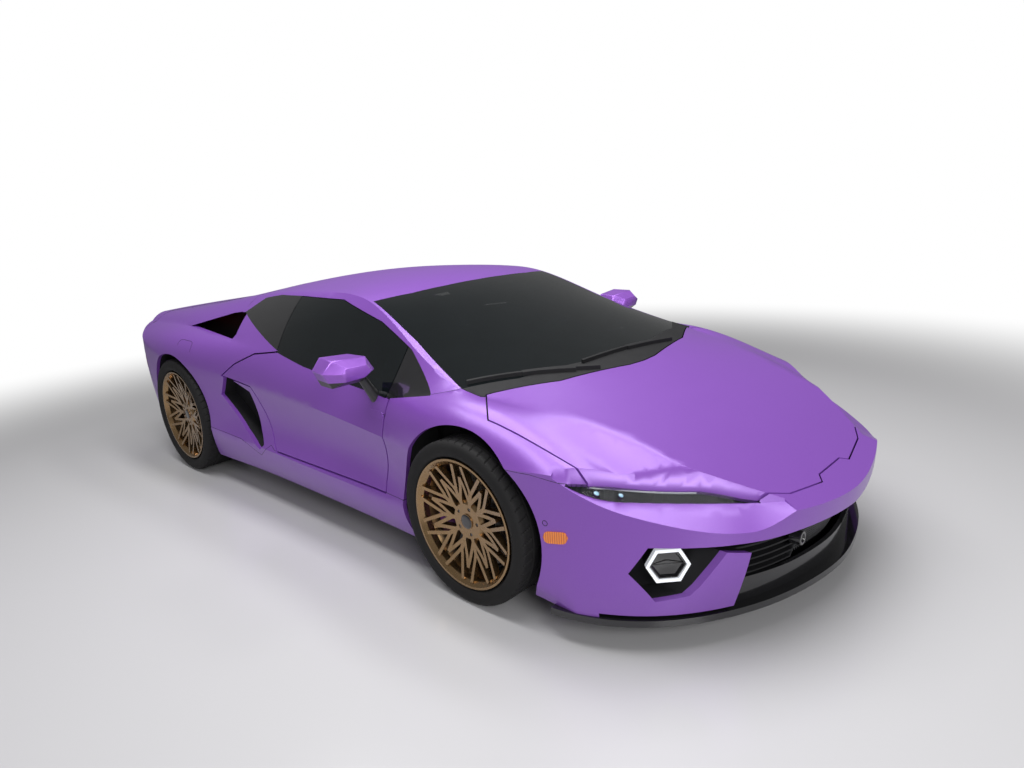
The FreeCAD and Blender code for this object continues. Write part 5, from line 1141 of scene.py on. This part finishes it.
def day_lamp_bowls():
    """The dark stepped reflectors inside the day lamps' rings, with a bar across each."""
    points, faces = turned(in_metres(DAY_LAMP_STEPS), (0, 0, 0), DAY_LAMP_SIDES, axis=0)
    bowl = (points[:, [0, 2, 1]] * (1, DAY_LAMP_STRETCH, 1), faces)
    cross = bar(in_metres(DAY_LAMP_BAR), oval(*DAY_LAMP_BAR_SECTION))
    lamp = moved([bowl, cross], DAY_LAMP_CENTRE, DAY_LAMP_TURN)
    for side in SIDES:
        add_piece(f"day_lamp_bowl_{side}", mirrored(lamp, side), "black_gloss", "car_body")


def projector(place, radius):
    """A projector's barrel and its domed glass, turned about its axis and leant down."""
    barrel = [
        (-PROJECTOR_BACK, 0), (-PROJECTOR_BACK, radius), (PROJECTOR_LIP, radius),
        (PROJECTOR_LIP, radius * PROJECTOR_LIP_SHARE), (0, radius * PROJECTOR_BOWL_SHARE), (0, 0)]
    dome = np.array(PROJECTOR_DOME_SHARES) * radius
    forms = [turned(profile, (0, 0, 0), PROJECTOR_SIDES, axis=0) for profile in (barrel, dome)]
    return moved(forms, place, PROJECTOR_LEAN, "Y")


def headlamp_insides():
    """Two projectors and a bright guide along the brow inside each headlamp."""
    barrels, glasses = zip(*[projector(*values) for values in PROJECTORS])
    guide = bar(smooth_line(LAMP_GUIDE_KEYS, LAMP_GUIDE_POINTS), oval(*LAMP_GUIDE_SECTION))
    for side in SIDES:
        add_piece(f"projector_barrels_{side}", mirrored(barrels, side), "black_gloss", "car_body")
        add_piece(
            f"projector_glasses_{side}", mirrored(glasses, side), "clear_lens", "car_body",
            finish=PROJECTOR_GLASS)
        add_piece(f"lamp_guide_{side}", mirrored([guide], side), "lamp_white", "car_body")


# Sides


def patch(low, high, node, direction, thickness, cast=True):
    """A closed thin plate that follows a node, if one is given: a rounded quadrilateral laid on it.

    Grid share (s, t) is squeezed to a superellipse at its ends and set between the low and the
    high line. The grid is laid on the node, once a thickness out and once a thickness in.
    """
    low = np.asarray(low, dtype=float)
    high = np.asarray(high, dtype=float)
    s = np.linspace(-1, 1, PATCH_COLUMNS)[None, :]
    t = np.linspace(-1, 1, PATCH_ROWS)[:, None] * (1 - np.abs(s) ** PATCH_END_POWER * PATCH_NARROWING)
    s_share = ((s + 1) / 2)[..., None]
    t_share = ((t + 1) / 2)[..., None]
    base = low[0] * (1 - s_share) + low[1] * s_share
    top = high[0] * (1 - s_share) + high[1] * s_share
    laid = base * (1 - t_share) + top * t_share
    if node is not None:
        laid = laid_on(laid.reshape(-1, 3), node, direction if cast else None).reshape(laid.shape)
    back = -np.asarray(direction, dtype=float) * thickness
    rim = np.concatenate([laid + back, (laid - back)[::-1]])
    ends = [np.broadcast_to(rim[:, column].mean(axis=0), (len(rim), 1, 3)) for column in (0, -1)]
    return surface(np.concatenate([ends[0], rim, ends[1]], axis=1), True, False)


def outline_on(node, corners, inward, radius, sunk=0, count=120, cast=True):
    """A thin line round a smooth closed outline, cast on a node or moved to its nearest place."""
    keys = np.concatenate([corners, corners[:1]])
    place = np.linspace(0, len(keys) - 1, count, endpoint=False)
    path = np.stack([np.interp(place, np.arange(len(keys)), keys[:, k]) for k in range(3)], axis=-1)
    laid = laid_on(path, node, inward if cast else None) + np.array(inward) * sunk
    return bar(laid, oval(radius, radius, LINE_SIDES), up=inward, closed=True)


def rounded_square(centre, half_x, half_z, squareness=0.5):
    """The corners of a rounded square in the XZ plane."""
    across, upward = oval(half_x, half_z, OUTLINE_CORNERS, squareness).T
    return np.stack([centre[0] + across, centre[1] + across * 0, centre[2] + upward], axis=-1)


def hinge_covers():
    """A painted cover over the pocket of each door's upper hinge."""
    for side, sign in SIDES.items():
        inward = (0, -sign, 0)
        corners = np.array([(x, sign * OUTSIDE_Y, z) for z in HINGE_COVER_Z for x in HINGE_COVER_X])
        laid = laid_on(corners, f"door_{side}", inward)
        cover = patch(laid[:2], laid[2:], None, inward, HINGE_COVER_HALF_THICKNESS)
        add_piece(f"hinge_cover_{side}", [cover], "paint", f"door_{side}")


def side_plate(node, x_span, z_span, y, rise=0, cast=True):
    """A thin rounded plate on a node's side, between two X places and two heights."""
    low, high = [[(x_span[0], y, z), (x_span[1], y, z + rise)] for z in z_span]
    return patch(low, high, node, (0, -math.copysign(1, y), 0), PLATE_HALF_THICKNESS, cast)


def side_fittings():
    """Amber side markers, parking sensors, rear reflectors and the fuel flap's joint."""
    for side, sign in SIDES.items():
        far = sign * OUTSIDE_Y
        marker = side_plate("front_bumper", MARKER_X, MARKER_Z, far, MARKER_RISE)
        add_piece(f"side_marker_{side}", [marker], "lamp_red", "car_body", finish=AMBER_LAMP)
        centre = (SIDE_SENSOR[0], far, SIDE_SENSOR[1])
        circle = rounded_square(centre, SIDE_SENSOR_RADIUS, SIDE_SENSOR_RADIUS, squareness=1)
        ring = outline_on("front_bumper", circle, (0, -sign, 0), SIDE_SENSOR_LINE)
        add_piece(f"side_sensor_{side}", [ring], "black_plastic", "car_body")
        # The reflectors take the glowing red lamp finish: a painted glow on parts that are no lamps
        reflector = side_plate("rear_bumper", REFLECTOR_X, REFLECTOR_Z, sign * REFLECTOR_Y, cast=False)
        add_piece(f"rear_reflector_{side}", [reflector], "lamp_red", "car_body")
    flap = rounded_square(FUEL_FLAP, FUEL_FLAP_HALF, FUEL_FLAP_HALF * FUEL_FLAP_SHARE)
    line = outline_on(
        "rear_quarters", flap, (0, 1, 0), FUEL_FLAP_LINE, FUEL_FLAP_SUNK, FUEL_FLAP_POINTS, cast=False)
    add_piece("fuel_flap_joint", [line], "black_plastic", "car_body")


# Cabin


def seat_pads(side):
    """A bucket seat: cushion, back, side bolsters and head pad on a hard shell."""
    made = []
    for name, half_size, squareness, channels, place, lean in SEAT_PADS:
        form = moved([pad(half_size, squareness, channels)], turn=lean, axis="Y")
        piece = add_piece(f"{name}_{side}", mirrored(moved(form, place), side), "seat_leather", "car_body")
        made.append(piece)
    shells = []
    for half_size, place, lean in SEAT_SHELLS:
        shell = moved([slab(half_size, SEAT_SHELL_SQUARENESS)], turn=lean, axis="Y")
        shells += moved(shell, place)
    made.append(add_piece(f"seat_shell_{side}", mirrored(shells, side), "black_gloss", "car_body"))
    return made


def seats():
    """Both seats in the place of the plain ones."""
    for side in SIDES:
        for piece in seat_pads(side):
            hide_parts("seats")


def cabin_vents():
    """Six-sided air vents across the dashboard, each with three bars."""
    vents = []
    for y in VENT_PLACES:
        vents.append(turned(VENT_RING, (VENT_X, y, VENT_Z), VENT_SIDES, axis=0, closed=True))
        for z in VENT_BAR_HEIGHTS:
            path = [(VENT_BAR_X, y + across, z) for across in (-VENT_BAR_HALF, 0, VENT_BAR_HALF)]
            vents.append(bar(path, oval(*VENT_BAR_SECTION)))
    return vents


def pedals():
    """Pedal plates, each on its arm."""
    made = []
    for y, z in PEDAL_PLACES:
        plate = moved([slab(PEDAL_HALF)], turn=PEDAL_LEAN, axis="Y")
        made += moved(plate, (PEDAL_X, y, z))
        made.append(bar([(x, y, z + rise) for x, rise in PEDAL_ARM], oval(*PEDAL_ARM_SECTION)))
    return made


def cabin_fittings():
    """Displays, vents and pedals on the dashboard and the console."""
    for name, half_size, place, lean in DISPLAYS:
        screen = moved([slab(half_size)], turn=lean, axis="Y")
        add_piece(name, moved(screen, place), "black_gloss", "car_body")
    add_piece("cabin_vents", cabin_vents(), "cabin_trim", "car_body")
    add_piece("pedals", pedals(), "cast_metal", "car_body")


# Camera and room


def camera():
    """The photograph's camera: yaw, pitch and roll turned into three axes."""
    data = bpy.data.cameras.new("camera")
    data.lens = FOCAL_PX * CAMERA_SENSOR_MM / PHOTO_WIDTH_PX
    data.sensor_width = CAMERA_SENSOR_MM
    data.shift_x = -CENTRE_RIGHT_PX / PHOTO_WIDTH_PX
    data.shift_y = CENTRE_DOWN_PX / PHOTO_WIDTH_PX
    ahead = Vector((
        math.cos(CAMERA_YAW) * math.cos(CAMERA_PITCH),
        math.sin(CAMERA_YAW) * math.cos(CAMERA_PITCH),
        math.sin(CAMERA_PITCH),
    ))
    right = ahead.cross(Vector((0, 0, 1))).normalized()
    up = right.cross(ahead)
    rolled_right = right * math.cos(CAMERA_ROLL) + up * math.sin(CAMERA_ROLL)
    rolled_up = up * math.cos(CAMERA_ROLL) - right * math.sin(CAMERA_ROLL)
    piece = bpy.data.objects.new("camera", data)
    turn = Matrix((rolled_right, rolled_up, -ahead)).transposed()
    piece.matrix_world = Matrix.Translation(CAMERA_PLACE) @ turn.to_4x4()
    bpy.context.scene.collection.objects.link(piece)
    bpy.context.scene.camera = piece


def floor():
    """A pale polished floor that fades to white away from the car."""
    data = bpy.data.meshes.new("floor")
    corners = [(x * FLOOR_HALF, y * FLOOR_HALF, 0) for x, y in ((-1, -1), (1, -1), (1, 1), (-1, 1))]
    data.from_pydata(corners, [], [(0, 1, 2, 3)])
    piece = bpy.data.objects.new("floor", data)
    bpy.context.scene.collection.objects.link(piece)
    finish = Finish("pale floor", Base_Color=FLOOR_COLOUR, Roughness=0.24, Specular_IOR_Level=0.5)
    x, y, _ = finish.axes()
    radius = (x * x + y * y).function("SQRT")
    light = finish.node("ShaderNodeLightPath", output="Is Camera Ray")
    far = radius.step(FLOOR_CLEAR_RADIUS, FLOOR_WHITE_RADIUS)
    glow = finish.node("ShaderNodeEmission", None, {"Color": WHITE, "Strength": 1})
    fading = finish.node("ShaderNodeMixShader", None, {0: far * light, 1: finish.shaded(), 2: glow})
    finish.end("ShaderNodeOutputMaterial", fading)
    data.materials.append(finish.material)


def world():
    """A white room: it shows as white and lights the car at a lower level."""
    room = bpy.data.worlds.new("room")
    tree = NodeTree(room)
    camera_ray = tree.node("ShaderNodeLightPath", output="Is Camera Ray")
    glass_ray = tree.node("ShaderNodeLightPath", output="Is Transmission Ray")
    seen = camera_ray.function("MAXIMUM", glass_ray)
    level = tree.node(
        "ShaderNodeMapRange", None, {"Value": seen, "To Min": WORLD_LIGHT, "To Max": WORLD_SHOWN})
    white = tree.node("ShaderNodeBackground", None, {"Color": WHITE, "Strength": level})
    tree.end("ShaderNodeOutputWorld", white)
    bpy.context.scene.world = room


def softbox(name, place, target, size, power):
    """A rectangular lamp at a place, turned towards a target."""
    data = bpy.data.lights.new(name, "AREA")
    data.shape = "RECTANGLE"
    data.size, data.size_y = size
    data.energy = power
    lamp = bpy.data.objects.new(name, data)
    lamp.location = place
    lamp.rotation_mode = "QUATERNION"
    lamp.rotation_quaternion = (Vector(target) - Vector(place)).to_track_quat("-Z", "Y")
    bpy.context.scene.collection.objects.link(lamp)


def studio():
    """Floor, room and soft lamps: three rows overhead, one in front and one at the side."""
    floor()
    world()
    for x, y, length in CEILING_LAMPS:
        softbox(
            "overhead lamp", (x, y, CEILING_HEIGHT), (x, y * CEILING_AIM_SHARE, 0),
            (length, CEILING_LAMP_WIDTH), CEILING_WATTS_PER_METRE * length)
    softbox("front lamp", **FRONT_LAMP)
    softbox("side lamp", **SIDE_LAMP)
    bpy.context.scene.view_settings.view_transform = "Standard"


dress_nodes()
seams()
wheels()
front_mesh()
day_lamp_bowls()
headlamp_insides()
rear_mesh()
side_fittings()
hinge_covers()
seats()
cabin_fittings()
camera()
studio()
